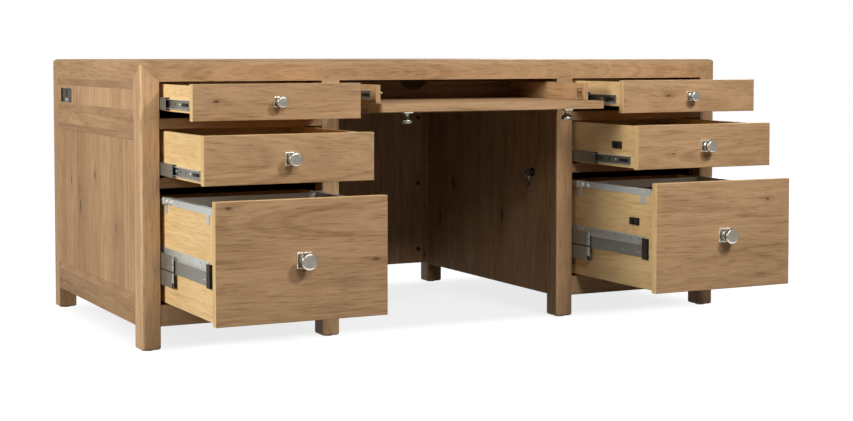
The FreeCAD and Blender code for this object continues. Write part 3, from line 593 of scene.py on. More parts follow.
class Stack:
    """Boards that are sawn the first time a face asks for one."""

    def __init__(self):
        self.found = {}

    def board(self, key, axes, **extra):
        if key not in self.found:
            self.found[key] = Board(key, axes, **extra)
        return self.found[key]


class Planks:
    """Boards glued side by side along an axis, in the given shares of the way from low to high."""

    def __init__(self, label, axes, axis, low, high, shares, tones=None, knots=None, tilts=None, **extra):
        self.axis = axis
        self.row = []
        edges = [low]
        for number, share in enumerate(shares):
            edges.append(edges[-1] + (high - low) * share / sum(shares))
            own = {"tone": tones, "knot": knots, "tilt": tilts}
            own = {key: values.get(number) for key, values in own.items() if values}
            self.row.append(Board(f"{label} {number}", axes, **own, **extra))
        self.joints = edges[1:-1]

    def at(self, place):
        """The plank under a place."""
        for plank, edge in zip(self.row, self.joints):
            if place[self.axis] < edge:
                return plank
        return self.row[-1]

    def board_of(self, place, normal):
        return self.at(place)

    def cuts(self):
        return [(self.axis, self.joints)]


# Making pieces


def cut(shape, place, normal):
    """Cuts every face that a plane crosses."""
    everything = shape.verts[:] + shape.edges[:] + shape.faces[:]
    bmesh.ops.bisect_plane(shape, geom=everything, plane_co=place, plane_no=normal)


def node_copy(node, cuts=()):
    """A merged copy of a node's mesh, with flat faces whole again, cut where boards or finishes meet."""
    shape = bmesh.new()
    shape.from_mesh(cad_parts[node].data)
    bmesh.ops.remove_doubles(shape, verts=shape.verts, dist=1e-5)
    bmesh.ops.dissolve_limit(shape, angle_limit=math.radians(0.8), verts=shape.verts, edges=shape.edges)
    for axis, places in cuts:
        normal = Vector((0.0, 0.0, 0.0))
        normal[axis] = 1.0
        for place in places:
            cut(shape, normal * place, normal)
    return shape


def lay_grain(shape, sort):
    """Writes each board's grain on its faces; sort names the board of a face."""
    grain = shape.loops.layers.float_vector.new("grain")
    board_mark = shape.loops.layers.float_vector.new("board")
    knot = shape.loops.layers.float_vector.new("knot")
    groups = {}
    for face in shape.faces:
        board = sort(face.calc_center_median(), face.normal)
        groups.setdefault(board, []).append(face)
    for board, faces in groups.items():
        places = [v.co for face in faces for v in face.verts]
        low = Vector([min(p[i] for p in places) for i in range(3)])
        high = Vector([max(p[i] for p in places) for i in range(3)])
        board.centre = (low + high) / 2
        mark = Vector((board.tone, board.seed, board.figure))
        for face in faces:
            face.material_index = board.look
            for loop in face.loops:
                loop[grain] = board.grain(loop.vert.co)
                loop[board_mark] = mark
                loop[knot] = board.knot_place()


def finished(name, shape, materials, body, nodes=(), ease=0.0, crease=CREASE):
    """Turns a shape into a piece that stands for its nodes and moves with their body."""
    mesh = bpy.data.meshes.new(name)
    shape.to_mesh(mesh)
    shape.free()
    for material in materials:
        mesh.materials.append(material)
    mesh.shade_smooth()
    mesh.set_sharp_from_angle(angle=math.radians(crease))
    piece = bpy.data.objects.new(name, mesh)
    bpy.context.scene.collection.objects.link(piece)
    if ease:
        rounding = piece.modifiers.new("eased_edges", "BEVEL")
        rounding.width = ease
        rounding.segments = EASE_STEPS
        rounding.limit_method = "ANGLE"
        rounding.angle_limit = math.radians(EASE_LIMIT)
        rounding.harden_normals = True
    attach(piece, body)
    if nodes:
        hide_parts(*nodes)


def wooden(name, node, body, materials, sort, cuts=(), crease=CREASE):
    """A node dressed as boards with eased edges."""
    shape = node_copy(node, cuts)
    lay_grain(shape, sort)
    ease = bpy.context.scene.desk_wood.eased_edge
    finished(name, shape, materials, body, [node], ease, crease)


def carcase_oak(name, node, sort, cuts=(), crease=CREASE):
    """A node of the carcase dressed as oak boards."""
    wooden(name, node, "carcase", [oak()], sort, cuts, crease)


def dressed(name, node, body, materials, pick, cuts=()):
    """A node whose faces take one of several finishes."""
    shape = node_copy(node, cuts)
    for face in shape.faces:
        face.material_index = pick(face.calc_center_median(), face.normal)
    finished(name, shape, materials, body, [node])


def finish_new(shape, before, look):
    """Gives the faces made since before their finish."""
    for face in shape.faces:
        if face not in before:
            face.material_index = look


def stud(shape, place, facing, radius, height, look, crown=0.8, drawn=1.0):
    """A low round head on a face, drawn out along Y where it is a slot."""
    before = set(shape.faces)
    turn = Vector(facing).to_track_quat("Z", "Y").to_matrix().to_4x4()
    move = Matrix.Translation(Vector(place) + Vector(facing) * height / 2)
    bmesh.ops.create_cone(
        shape,
        cap_ends=True,
        segments=18,
        radius1=radius,
        radius2=radius * crown,
        depth=height,
        matrix=move @ Matrix.Diagonal((1.0, drawn, 1.0, 1.0)) @ turn,
    )
    finish_new(shape, before, look)


def stud_rows(shape, faces, start, level, rows):
    """Rows of heads on side faces; a row's places count along Y from start, and its drop from level."""
    for face, way in faces:
        for row in rows:
            form = dict(row)
            side = face + way * form.pop("out")
            height = level - form.pop("drop", 0.0)
            for along in form.pop("along"):
                stud(shape, (side, start + along, height), (way, 0.0, 0.0), **form)


def bar(shape, low, high, look, round_off):
    """A small rounded bar between two corners."""
    before = set(shape.faces)
    low, high = Vector(low), Vector(high)
    size = Matrix.Diagonal((*(high - low), 1.0))
    made = bmesh.ops.create_cube(shape, size=1.0, matrix=Matrix.Translation((low + high) / 2) @ size)
    edges = list({edge for vert in made["verts"] for edge in vert.link_edges})
    bmesh.ops.bevel(
        shape, geom=edges, offset=round_off, affect="EDGES", segments=2, profile=0.5, material=-1
    )
    finish_new(shape, before, look)


def both_sides(node):
    """Outer side faces of a node and the way each looks."""
    low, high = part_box(node)
    return ((low.x, -1.0), (high.x, 1.0))


def chamfered(normal, axis):
    """True on a chamfer that runs along a rail, between its edge and a face that looks along an axis."""
    return abs(normal.z) > 0.15 and 0.3 < abs(normal[axis]) < 0.98


# Boards of the top's edge rails, which also show above the slanting joints of the posts
TOP_RAILS = {
    # the front rail is darkened a little as painted shade
    "front_rail": dict(axes="xzy", tone=-0.25, depth=0.05, tilt=0.09),
    "back_rail": dict(axes="xzy"),
    "left_rail": dict(axes="yzx", tone=0.4),
    "right_rail": dict(axes="yzx"),
}


def rail_board(key, look=1):
    """Board of one edge rail of the top."""
    return Board(key, look=look, **TOP_RAILS[key])


# Operators


class DESK_OT_top(bpy.types.Operator):
    """Dress the top: its panel and its edge rails"""

    bl_idname = "desk.top"
    bl_label = "Desk top"

    plank_shares = (9, 12, 10, 13, 11, 9, 12)
    pith_depth = 0.07
    rail_width = 0.041

    def execute(self, context):
        low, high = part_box("top_panel")
        planks = Planks("top plank", "xyz", 1, low.y, high.y, self.plank_shares, depth=self.pith_depth)
        carcase_oak("top_boards", "top_panel", planks.board_of, planks.cuts())
        low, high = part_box("top_edge_rails")
        rails = {key: rail_board(key, 0) for key in TOP_RAILS}

        def rail_of(place, normal):
            if place.y < low.y + self.rail_width:
                return rails["front_rail"]
            if place.y > high.y - self.rail_width:
                return rails["back_rail"]
            return rails["left_rail" if place.x < 0.0 else "right_rail"]

        carcase_oak("top_rails", "top_edge_rails", rail_of)
        return {"FINISHED"}


class DESK_OT_posts(bpy.types.Operator):
    """Dress the posts of the pedestals and of the top unit"""

    bl_idname = "desk.posts"
    bl_label = "Posts"

    # tones of posts, named by their rounded X and whether they stand at the rear; they lighten or darken posts to match
    # how each is lit, as painted light and shade
    tones = {
        "post -0.9 False": 1.7,
        "post -0.4 False": 0.6,
        "post 0.4 False": -1.1,
        "post 0.3 True": 1.5,
        "post 0.4 True": -1.5,
    }
    figure = 0.9
    # rounded arrises carry a painted highlight: they are paler and plainer than the faces beside them
    arris_figure = 0.5
    arris_highlight_tone = 1.8
    arris_turn = 0.35
    # how far below the top the slanting joints of the heads end
    joint_drop = 0.008

    def execute(self, context):
        faces = Stack()
        arrises = Stack()

        def post_of(place, normal):
            key = f"post {round(place.x, 1)} {place.y > MID_DEPTH}"
            post = faces.board(key, "zxy", figure=self.figure, tone=self.tones.get(key))
            # painted highlight on the rounded arrises
            if min(abs(normal.x), abs(normal.y)) > self.arris_turn:
                return arrises.board(key, "zxy", figure=self.arris_figure, tone=post.tone + self.arris_highlight_tone)
            return post

        wooden("pedestal_post_set", "pedestal_posts", "carcase", [post_oak()], post_of)
        self.heads(post_of)
        return {"FINISHED"}

    def heads(self, post_of):
        """Upper posts, whose heads meet the rails in slanting joints."""
        low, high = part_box("upper_posts")
        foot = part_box("top_edge_rails")[0].z
        tip = high.z - self.joint_drop
        inner_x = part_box("upper_back_panel")[1].x
        inner_low, inner_high = (corner.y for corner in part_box("upper_end_panels"))
        # axis, outer face and inner face of the posts at each side of the desk
        right, left = (0, high.x, inner_x), (0, low.x, -inner_x)
        front, back = (1, low.y, inner_low), (1, high.y, inner_high)
        shape = node_copy("upper_posts")
        for axis, outer, inner in (right, left, front, back):
            slope = Vector((0.0, 0.0, inner - outer))
            slope[axis] = tip - foot
            corner = Vector((0.0, 0.0, tip))
            corner[axis] = outer
            cut(shape, corner, slope)
        rails = {key: rail_board(key) for key in TOP_RAILS}

        def above_joint(place, axis, outer, inner):
            return place.z > tip - (tip - foot) * (place[axis] - outer) / (inner - outer)

        def head_of(place, normal):
            if place.z < foot or abs(place.x) < inner_x:
                return post_of(place, normal)
            rear = place.y > MID_DEPTH
            along_x = abs(normal.y) >= abs(normal.x)
            if along_x and above_joint(place, *(right if place.x > 0.0 else left)):
                return rails["back_rail" if rear else "front_rail"]
            if not along_x and above_joint(place, *(back if rear else front)):
                return rails["left_rail" if place.x < 0.0 else "right_rail"]
            return post_of(place, normal)

        lay_grain(shape, head_of)
        ease = bpy.context.scene.desk_wood.eased_edge
        finished("upper_post_set", shape, [post_oak(), oak()], "carcase", ["upper_posts"], ease)


class DESK_OT_frames(bpy.types.Operator):
    """Dress the rails and frames of the ends, the back and the drawer openings"""

    bl_idname = "desk.frames"
    bl_label = "Rails and frames"

    # pedestals: where the end frames begin, the depth of the front rails and the middle of a pedestal
    end_x = 0.87
    front_depth = 0.024
    pedestal_middle = 0.63
    # heights that part the bottom and top rails from the stiles, and the lowest front rail from the others
    bottom_z = 0.16
    top_z = 0.5
    low_rail_z = 0.2
    middle_z = 0.3
    # tones: the lowest front rail is lighter, the higher front rails are darkened as painted shade from the drawers
    # above them, and the end frames' bottom rails as painted shade low down
    low_rail_tone = 1.6
    high_rail_tone = -1.4
    bottom_shade_tone = -2.0
    # planks of the top unit's end and back panels; the end planks differ in tone and are all raised as painted light
    end_shares = (10, 9, 12, 8, 11, 10)
    end_light_tones = {0: 1.9, 1: 1.2, 2: 2.0, 3: 1.8, 4: 1.5, 5: 1.0}
    back_shares = (9,) * 16
    # how near the outer face a rail's face lies, and how far from mid-height
    rail_recess = 0.0055
    rail_height = 0.03

    def execute(self, context):
        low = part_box("pedestal_rails")[0]
        stack = Stack()

        def rail_of(place, normal):
            side = "left" if place.x < 0.0 else "right"
            at_end = abs(place.x) > self.end_x
            # chamfers take a darker tone
            if chamfered(normal, 0 if at_end else 1):
                axes, face = ("yzx", 0) if at_end else ("xzy", 1)
                key = f"chamfer {place.x < 0.0} {face} {place.z > self.middle_z}"
                return stack.board(key, axes, tone=CHAMFER_TONE)
            if place.y < low.y + self.front_depth and abs(place.x) < self.end_x:
                # painted shade on the higher front rails
                tone = self.high_rail_tone if place.z > self.low_rail_z else self.low_rail_tone
                return stack.board(f"front rail {side} {round(place.z, 1)}", "xzy", tone=tone)
            level = "top" if place.z > self.top_z else "bottom" if place.z < self.bottom_z else "stile"
            if at_end:
                axes = "zyx" if level == "stile" else "yzx"
                # painted shade on the end frames' bottom rails
                tone = self.bottom_shade_tone if level == "bottom" else None
                return stack.board(f"end frame {side} {level} {place.y > MID_DEPTH}", axes, tone=tone)
            axes = "zxy" if level == "stile" else "xzy"
            return stack.board(f"back frame {side} {level} {abs(place.x) > self.pedestal_middle}", axes)

        carcase_oak("rail_set", "pedestal_rails", rail_of, crease=CHAMFER_CREASE)
        self.upper("upper_end_panels", "upper_end_set", 1)
        self.upper("upper_back_panel", "upper_back_set", 0)
        return {"FINISHED"}

    def upper(self, node, label, axis):
        """Frames and panels of the top unit: along Y at its ends, along X at its back."""
        axes, rail_axes = ("zyx", "yzx") if axis else ("zxy", "xzy")
        shares, tones = (self.end_shares, self.end_light_tones) if axis else (self.back_shares, None)
        low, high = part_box(node)
        planks = {
            side: Planks(f"{node} {side}", axes, axis, low[axis], high[axis], shares, tones)
            for side in (True, False)
        }
        stack = Stack()
        middle = (low.z + high.z) / 2
        face = max(abs(low.x), abs(high.x)) if axis else high.y

        def board_of(place, normal):
            side = place.x < 0.0 if axis else False
            # faces inside the top unit are darkened as painted shade
            inside = normal.x * place.x < -0.5 if axis else normal.y < -FACING
            if inside:
                return stack.board(f"{node} inside", axes, tone=INSIDE_SHADE_TONE)
            # chamfers take a darker tone
            if chamfered(normal, 1 - axis):
                return stack.board(f"{node} stain {side} {place.z > middle}", rail_axes, tone=CHAMFER_TONE)
            recess = face - (abs(place.x) if axis else place.y)
            if recess < self.rail_recess and abs(place.z - middle) > self.rail_height:
                return stack.board(f"{node} rail {side} {place.z > middle}", rail_axes)
            return planks[side].at(place)

        carcase_oak(label, node, board_of, planks[True].cuts(), CHAMFER_CREASE)


class DESK_OT_panels(bpy.types.Operator):
    """Dress the plank panels of the ends, the back and the kneehole"""

    bl_idname = "desk.panels"
    bl_label = "Plank panels"

    end_shares = (11, 12, 10, 13, 10, 12, 11)
    knee_shares = (10, 12, 11, 9, 12, 10, 11, 9)
    # knots: place along and across the plank, and size
    rows = {
        # the left end's planks are lowered a little as painted shade, besides their own differences of tone
        "left end": dict(
            figure=0.8,
            tones={0: 0.2, 1: -0.7, 2: 0.4, 3: -0.3, 4: -1.1, 5: -0.5, 6: -1.4},
            knots={
                1: (-0.05, 0.01, 0.007),
                3: (0.08, -0.02, 0.006),
                4: (-0.02, 0.015, 0.010),
                5: (0.05, 0.0, 0.006),
            },
        ),
        "right end": dict(figure=0.8, knots={2: (0.06, 0.01, 0.007)}),
        "left knee": dict(knots={3: (0.1, 0.0, 0.009)}),
        # the right knee's rear planks are darkened as painted shade
        "right knee": dict(
            tones={3: 0.1, 4: -0.9, 5: -1.0, 6: -1.2, 7: -1.2},
            knots={2: (-0.06, 0.0, 0.012), 5: (0.02, 0.01, 0.013), 6: (-0.1, 0.0, 0.010)},
        ),
    }
    # axes and tones of the other boards of a pedestal; the inside faces and the roof are darkened as painted shade
    flats = {
        "inside": ("zyx", INSIDE_SHADE_TONE),
        "back": ("zxy", None),
        "roof": ("yxz", INSIDE_SHADE_TONE),
        "floor": ("yxz", None),
    }
    # outside these the end panels lie, and inside these the kneehole's sides
    end_x = 0.89
    knee_x = 0.37
    back_thickness = 0.02
    middle_z = 0.3

    modesty_shares = (11, 10, 12, 9, 11, 10)
    modesty_tone = 1.4
    upper_side_x = 0.6
    # the runner cleats inside the carcase are darkened as painted shade
    cleat_tone = -4.0

    # plugs in the rear posts: heights, distance from the modesty panel, radius and height
    plug_levels = (0.092, 0.254, 0.416, 0.578)
    plug_distance = 0.015
    plug_radius = 0.0038
    plug_height = 0.0003

    def execute(self, context):
        self.pedestals()
        low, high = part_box("modesty_panel")
        tones = {number: self.modesty_tone for number in range(len(self.modesty_shares))}
        planks = Planks("modesty", "zxy", 0, low.x, high.x, self.modesty_shares, tones)
        carcase_oak("modesty_boards", "modesty_panel", planks.board_of, planks.cuts())
        self.plugs(low, high)
        stack = Stack()

        def partition_of(place, normal):
            if abs(place.x) > KNEEHOLE_SIDE:
                return stack.board(f"partition {round(place.x, 2)}", "yzx")
            return stack.board("apron", "xzy")

        def cleat_of(place, normal):
            key = f"cleat {place.x < 0.0} {abs(place.x) > self.upper_side_x} {round(place.z, 1)}"
            return stack.board(key, "yzx", tone=self.cleat_tone)

        carcase_oak("partition_set", "upper_partitions", partition_of)
        wooden("cleat_set", "runner_cleats", "carcase", [drawer_wood()], cleat_of)
        return {"FINISHED"}

    def pedestals(self):
        """Panels of both pedestals: ends, kneehole sides, backs, roofs and floors."""
        low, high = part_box("pedestal_panels")
        planks = {}
        for name, values in self.rows.items():
            shares = self.end_shares if name.endswith("end") else self.knee_shares
            planks[name] = Planks(name, "zyx", 1, low.y, high.y, shares, **values)
        stack = Stack()

        def flat(side, kind):
            axes, tone = self.flats[kind]
            return stack.board(f"{side}_{kind}", axes, tone=tone)

        def board_of(place, normal):
            side = "left" if place.x < 0.0 else "right"
            middle = math.copysign((abs(low.x) + KNEEHOLE_SIDE) / 2, place.x)
            at_back = place.y > high.y - self.back_thickness
            if normal.x * (middle - place.x) > 0.05 or normal.y < -FACING and at_back:
                return flat(side, "inside")
            if abs(place.x) > self.end_x:
                return planks[side + " end"].at(place)
            if abs(place.x) < self.knee_x:
                return planks[side + " knee"].at(place)
            if at_back:
                return flat(side, "back")
            return flat(side, "roof" if place.z > self.middle_z else "floor")

        joints = sorted({edge for row in planks.values() for edge in row.joints})
        carcase_oak("panel_set", "pedestal_panels", board_of, [(1, joints)])

    def plugs(self, low, high):
        """Dark plugs in the rear posts, beside the modesty panel."""
        shape = bmesh.new()
        for face, way in ((low.x, 1.0), (high.x, -1.0)):
            for level in self.plug_levels:
                place = (face, low.y - self.plug_distance, level)
                stud(shape, place, (way, 0.0, 0.0), self.plug_radius, self.plug_height, 0, 1.0)
        finished("post_plugs", shape, [black_plastic()], "carcase")


class DESK_OT_fronts(bpy.types.Operator):
    """Dress the six drawer fronts"""

    bl_idname = "desk.fronts"
    bl_label = "Drawer fronts"

    # knots (place along and across, size), tilts of the grain and tones, by plank from the bottom
    figures = {
        "upper_left": dict(knots={0: (-0.166, 0.003, 0.0048)}),
        "middle_left": dict(tilts={0: -0.05}),
        "file_left": dict(
            knots={0: (0.196, 0.068, 0.0055), 1: (-0.195, 0.060, 0.0045)}, tilts={1: 0.04}, tones={0: -0.45, 1: -0.25}
        ),
        "upper_right": dict(knots={0: (-0.075, 0.002, 0.0040)}, tilts={0: 0.05}),
        "middle_right": dict(knots={0: (-0.11, -0.02, 0.0030)}),
        "file_right": dict(knots={1: (0.15, 0.02, 0.0035)}, tilts={0: 0.04}, tones={0: -0.35, 1: 0.0}),
    }
    lipping_tone = -0.9

    def execute(self, context):
        for name in drawer_names:
            self.front(name)
        return {"FINISHED"}

    def front(self, name):
        """One front: two planks on a file drawer, one on the others, with pale lipping round it."""
        node = name + "_front"
        low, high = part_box(node)
        shares = (1.0, 1.0) if name in file_drawers else (1.0,)
        planks = Planks(f"{name} front", "xzy", 2, low.z, high.z, shares, **self.figures[name])
        lipping = Board(f"{name} lipping", "zxy", tone=self.lipping_tone, look=1)

        def board_of(place, normal):
            return planks.at(place) if abs(normal.y) > 0.5 else lipping

        looks = [oak(), drawer_wood()]
        wooden(name + "_face", node, name + "_drawer", looks, board_of, planks.cuts())


class DESK_OT_boxes(bpy.types.Operator):
    """Dress the six drawer boxes"""

    bl_idname = "desk.boxes"
    bl_label = "Drawer boxes"

    # tones of the boxes' left sides: painted shade darkens those of the right boxes, which face the kneehole, and
    # painted light lightens the upper left one
    side_light_shade_tones = {"upper_left": 0.5, "middle_right": -0.7, "file_right": -0.8}
    # rear boards of the boxes are darkened as painted shade, most in the file drawers
    file_rear_shade_tone = -5.5
    rear_shade_tone = -2.5
    board_thickness = 0.0135
    floor_height = 0.017

    def execute(self, context):
        for name in drawer_names:
            self.box(name)
        return {"FINISHED"}

    def box(self, name):
        """One box: two sides, two ends and a floor."""
        node = name + "_box"
        low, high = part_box(node)
        middle = (low.x + high.x) / 2
        reach = (high.x - low.x) / 2
        back = high.y - self.board_thickness
        floor = low.z + self.floor_height
        rear_shade_tone = self.file_rear_shade_tone if name in file_drawers else self.rear_shade_tone
        stack = Stack()

        def board_of(place, normal):
            if abs(place.x - middle) > reach - self.board_thickness:
                if place.x < middle:
                    return stack.board("left_side", "yzx", tone=self.side_light_shade_tones.get(name))
                return stack.board("right_side", "yzx")
            if place.y > back and place.z > floor:
                return stack.board("rear", "xzy", tone=rear_shade_tone)
            if abs(normal.y) > FACING or abs(normal.z) < FACING:
                return stack.board("ends", "xzy")
            return stack.board("floor", "yxz")

        wooden(name + "_case", node, name + "_drawer", [drawer_wood()], board_of)


class DESK_OT_tray(bpy.types.Operator):
    """Dress the keyboard tray and its drop front"""

    bl_idname = "desk.tray"
    bl_label = "Keyboard tray"

    side_thickness = 0.0145
    back_thickness = 0.014
    under_side = 0.001
    front_tone = 0.2

    def execute(self, context):
        low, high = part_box("keyboard_tray")
        stack = Stack()

        def board_of(place, normal):
            if abs(place.x) > high.x - self.side_thickness and place.z > low.z + self.under_side:
                return stack.board("left_side" if place.x < 0.0 else "right_side", "yzx")
            if place.y > high.y - self.back_thickness and abs(normal.z) < FACING:
                return stack.board("back", "xzy")
            return stack.board("base", "xyz")

        wooden("tray_boards", "keyboard_tray", "tray", [oak()], board_of)
        front = Board("drop front", "xyz", tone=self.front_tone)
        wooden("drop_front_board", "drop_front", "drop_front", [oak()], lambda place, normal: front)
        return {"FINISHED"}


class DESK_OT_knobs(bpy.types.Operator):
    """Turn the knobs of the drawers and of the drop front"""

    bl_idname = "desk.knobs"
    bl_label = "Knobs"

    # side of the square plate and reach of a knob, as shares of the head's diameter
    plate_shares = {"upper": (0.839, 1.032), "middle": (0.892, 1.0), "file": (0.907, 0.9765)}
    plate_thickness = 0.004
    plate_round = 0.0006
    # raised rim round the plate: its share of half a side, and how deep the field within it lies
    rim_share = 0.16
    field_depth = 0.0012
    # half section: shares of the head's radius and of the reach from plate to face
    section = (
        (0.60, 0.00), (0.60, 0.05), (0.42, 0.10), (0.38, 0.22), (0.39, 0.34), (0.46, 0.40),
        (0.66, 0.47), (0.82, 0.55), (0.93, 0.63), (0.985, 0.71), (1.00, 0.79), (0.985, 0.87),
        (0.94, 0.925), (0.86, 0.957), (0.76, 0.976), (0.62, 0.99), (0.40, 0.998), (0.00, 1.00),
    )
    turn_steps = 44
    # painted reflection: the head beyond this share of its reach, where it looks down, takes bright nickel
    glint_share = 0.78
    glint_slope = -0.26
    # head of the screw inside the drawer
    screw_radius = 0.0045
    screw_height = 0.0035
    screw_crown = 0.7

    def execute(self, context):
        looks = [nickel(), bright_nickel()]
        for name in drawer_names:
            node = name + "_knob"
            low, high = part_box(node)
            middle_x, middle_z = (low.x + high.x) / 2, (low.z + high.z) / 2
            shape = bmesh.new()
            place = Matrix.Translation((middle_x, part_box(name + "_front")[0].y, middle_z))
            self.knob(shape, name.split("_")[0], high.z - low.z, place)
            inside = Vector((middle_x, high.y - self.screw_height, middle_z))
            stud(shape, inside, (0.0, 1.0, 0.0), self.screw_radius, self.screw_height, 0, self.screw_crown)
            body = name + "_drawer"
            finished(name + "_pull", shape, looks, body, [node], crease=KNOB_CREASE)
        low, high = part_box("drop_front_knobs")
        diameter = high.y - low.y
        upwards = Matrix.Rotation(math.radians(90), 4, "X")
        shape = bmesh.new()
        for side in (-1.0, 1.0):
            centre = Vector((side * (high.x - diameter / 2), (low.y + high.y) / 2, high.z))
            self.knob(shape, "upper", diameter, Matrix.Translation(centre) @ upwards)
        nodes = ["drop_front_knobs"]
        finished("drop_front_pulls", shape, looks, "drop_front", nodes, crease=KNOB_CREASE)
        return {"FINISHED"}

    def knob(self, shape, kind, diameter, place):
        """One knob on its square plate, standing out towards -Y before it is placed."""
        before = set(shape.verts)
        plate_share, reach_share = self.plate_shares[kind]
        half = diameter * plate_share / 2
        thick = self.plate_thickness
        bar(shape, (-half, -thick, -half), (half, 0.0, half), 0, self.plate_round)
        made = (face for face in shape.faces if face.verts[0] not in before)
        field = min(made, key=lambda face: face.calc_center_median().y)
        bmesh.ops.inset_region(shape, faces=[field], thickness=half * self.rim_share, depth=-self.field_depth)
        reach = diameter * reach_share - thick
        points = [
            shape.verts.new((share * diameter / 2, -thick - out * reach + self.field_depth * (out == 0.0), 0.0))
            for share, out in self.section
        ]
        edges = [shape.edges.new(pair) for pair in zip(points, points[1:])]
        bmesh.ops.spin(
            shape,
            geom=points + edges,
            cent=(0.0, 0.0, 0.0),
            axis=(0.0, 1.0, 0.0),
            angle=math.tau,
            steps=self.turn_steps,
            use_merge=True,
        )
        new = [vert for vert in shape.verts if vert not in before]
        bmesh.ops.remove_doubles(shape, verts=new, dist=1e-6)
        new = [vert for vert in shape.verts if vert not in before]
        faces = list({face for vert in new for face in vert.link_faces})
        bmesh.ops.recalc_face_normals(shape, faces=faces)
        # bright nickel paints a reflection on the head's lower rim and a highlight on the plate's rim
        head = -thick - self.glint_share * reach
        rim = half * (1.0 - self.rim_share)
        for face in faces:
            centre = face.calc_center_median()
            below = centre.y < head and face.normal.z < self.glint_slope
            edge = centre.y > -thick - 0.0003 and max(abs(centre.x), abs(centre.z)) > rim
            face.material_index = 1 if below or edge else 0
        bmesh.ops.transform(shape, matrix=place, verts=new)


class DESK_OT_runners(bpy.types.Operator):
    """Finish the runners of the drawers and the tray, with their screws, holes and levers"""

    bl_idname = "desk.runners"
    bl_label = "Runners"

    # drawer members: webs lie this near the box; the lever's reach out from it, its ends, half height and rounding
    web_depth = 0.0016
    lever_out = (0.0012, 0.0046)
    lever_span = (0.010, 0.052)
    lever_half = 0.0042
    lever_round = 0.0008
    # middle members: the black ball cage
    cage_depth = 0.0095
    cage_half = 0.0146
    cage_end = 0.0415
    # file drawers: end cap, step below the strip; on middle members the bright end, the dark seam and the dark foot
    cap_length = 0.022
    step_drop = 0.0252
    bright_end = 0.012
    foot_end = 0.014
    seam = (0.041, 0.0445)
    foot = (0.060, 0.070)
    # fixed runners of the file drawers: their bright front ends
    file_level = 0.28
    fixed_end = 0.03

    # rows of heads and holes: how far out from the box's side, places along it, drop and form
    screw_places = (0.075, 0.190, 0.330, 0.405)
    slot_places = (0.110, 0.150, 0.245, 0.290, 0.370)
    strip_places = (0.012, 0.022, 0.062, 0.142, 0.222, 0.302, 0.380)
    rivet_places = (0.012, 0.021, 0.100, 0.260)
    drawer_rows = (
        dict(out=0.0012, along=screw_places, radius=0.0037, height=0.0012, look=0, crown=0.7),
        dict(out=0.0024, along=screw_places, radius=0.0013, height=0.0001, look=1),
        dict(out=0.0012, along=slot_places, radius=0.0024, height=0.0002, look=1, crown=1.0, drawn=1.9),
    )
    file_rows = (
        dict(out=0.0012, along=strip_places, drop=0.008, radius=0.0021, height=0.0002, look=1, crown=1.0),
        dict(out=0.0071, along=rivet_places, drop=0.0442, radius=0.0017, height=0.0006, look=0, crown=0.6),
    )
    hole = dict(out=0.0111, height=0.00015, look=0, crown=1.0)
    middle_rows = (
        dict(hole, along=(0.016, 0.150), radius=0.0026),
        dict(hole, along=(0.060,), radius=0.0022),
    )
    file_middle_rows = (
        dict(hole, along=(0.006,), drop=0.022, radius=0.0024),
        dict(hole, along=(0.006,), drop=0.040, radius=0.0024),
        dict(hole, along=(0.070, 0.160), drop=0.030, radius=0.0024),
    )

    def execute(self, context):
        for name in drawer_names:
            if name not in file_drawers:
                self.drawer_members(name + "_box", name + "_runners", name + "_drawer")
                self.middle_members(name + "_box", name + "_middle_runners", name + "_middle_members")
        self.drawer_members("keyboard_tray", "tray_runners", "tray")
        self.middle_members("keyboard_tray", "tray_middle_runners", "tray_middle_members")
        for name in file_drawers:
            self.file_runners(name)
            self.file_middle_members(name)
        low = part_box("fixed_runners")[0]

        def fixed_look(place, normal):
            at_end = place.y < low.y + self.fixed_end and normal.y < -FACING
            return 1 if place.z < self.file_level and at_end else 0

        dressed("fixed_runner_set", "fixed_runners", "carcase", [steel(), zinc()], fixed_look)
        return {"FINISHED"}

    def drawer_members(self, box, node, body):
        """Drawer members with countersunk screws, slots and a release lever."""
        low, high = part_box(node)
        middle = (low.z + high.z) / 2
        faces = both_sides(box)

        def look(place, normal):
            depth = min(abs(place.x - face) for face, way in faces)
            return 1 if depth < self.web_depth and abs(normal.x) > FACING else 0

        dressed(node.replace("runners", "runner_pair"), node, body, [zinc(), steel()], look)
        front, rear = (low.y + along for along in self.lever_span)
        shape = bmesh.new()
        stud_rows(shape, faces, low.y, middle, self.drawer_rows)
        for face, way in faces:
            inner, outer = sorted(face + way * out for out in self.lever_out)
            corners = (inner, front, middle - self.lever_half), (outer, rear, middle + self.lever_half)
            bar(shape, *corners, 1, self.lever_round)
        name = node.replace("runners", "runner_screws")
        finished(name, shape, [zinc(), black_plastic()], body)

    def middle_members(self, box, node, body):
        """Middle members with black ball cages and holes."""
        low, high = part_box(node)
        middle = (low.z + high.z) / 2
        faces = both_sides(box)

        def look(place, normal):
            depth = min(abs(place.x - face) for face, way in faces)
            in_cage = depth < self.cage_depth and abs(place.z - middle) < self.cage_half
            return 1 if in_cage and place.y < low.y + self.cage_end else 0

        dressed(node.replace("runners", "member_pair"), node, body, [steel(), black_plastic()], look)
        shape = bmesh.new()
        stud_rows(shape, faces, low.y, middle, self.middle_rows)
        finished(node.replace("runners", "member_holes"), shape, [black_plastic()], body)

    def file_runners(self, name):
        """Heavy runners of a file drawer: pale strip, darker channel, black end caps, holes and rivets."""
        node = name + "_runners"
        body = name + "_drawer"
        low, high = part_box(node)
        cap_end = low.y + self.cap_length
        step = high.z - self.step_drop

        def look(place, normal):
            if place.y < cap_end + 0.0001 and normal.y < 0.9:
                return 2
            return 0 if place.z > step or normal.z > FACING else 1

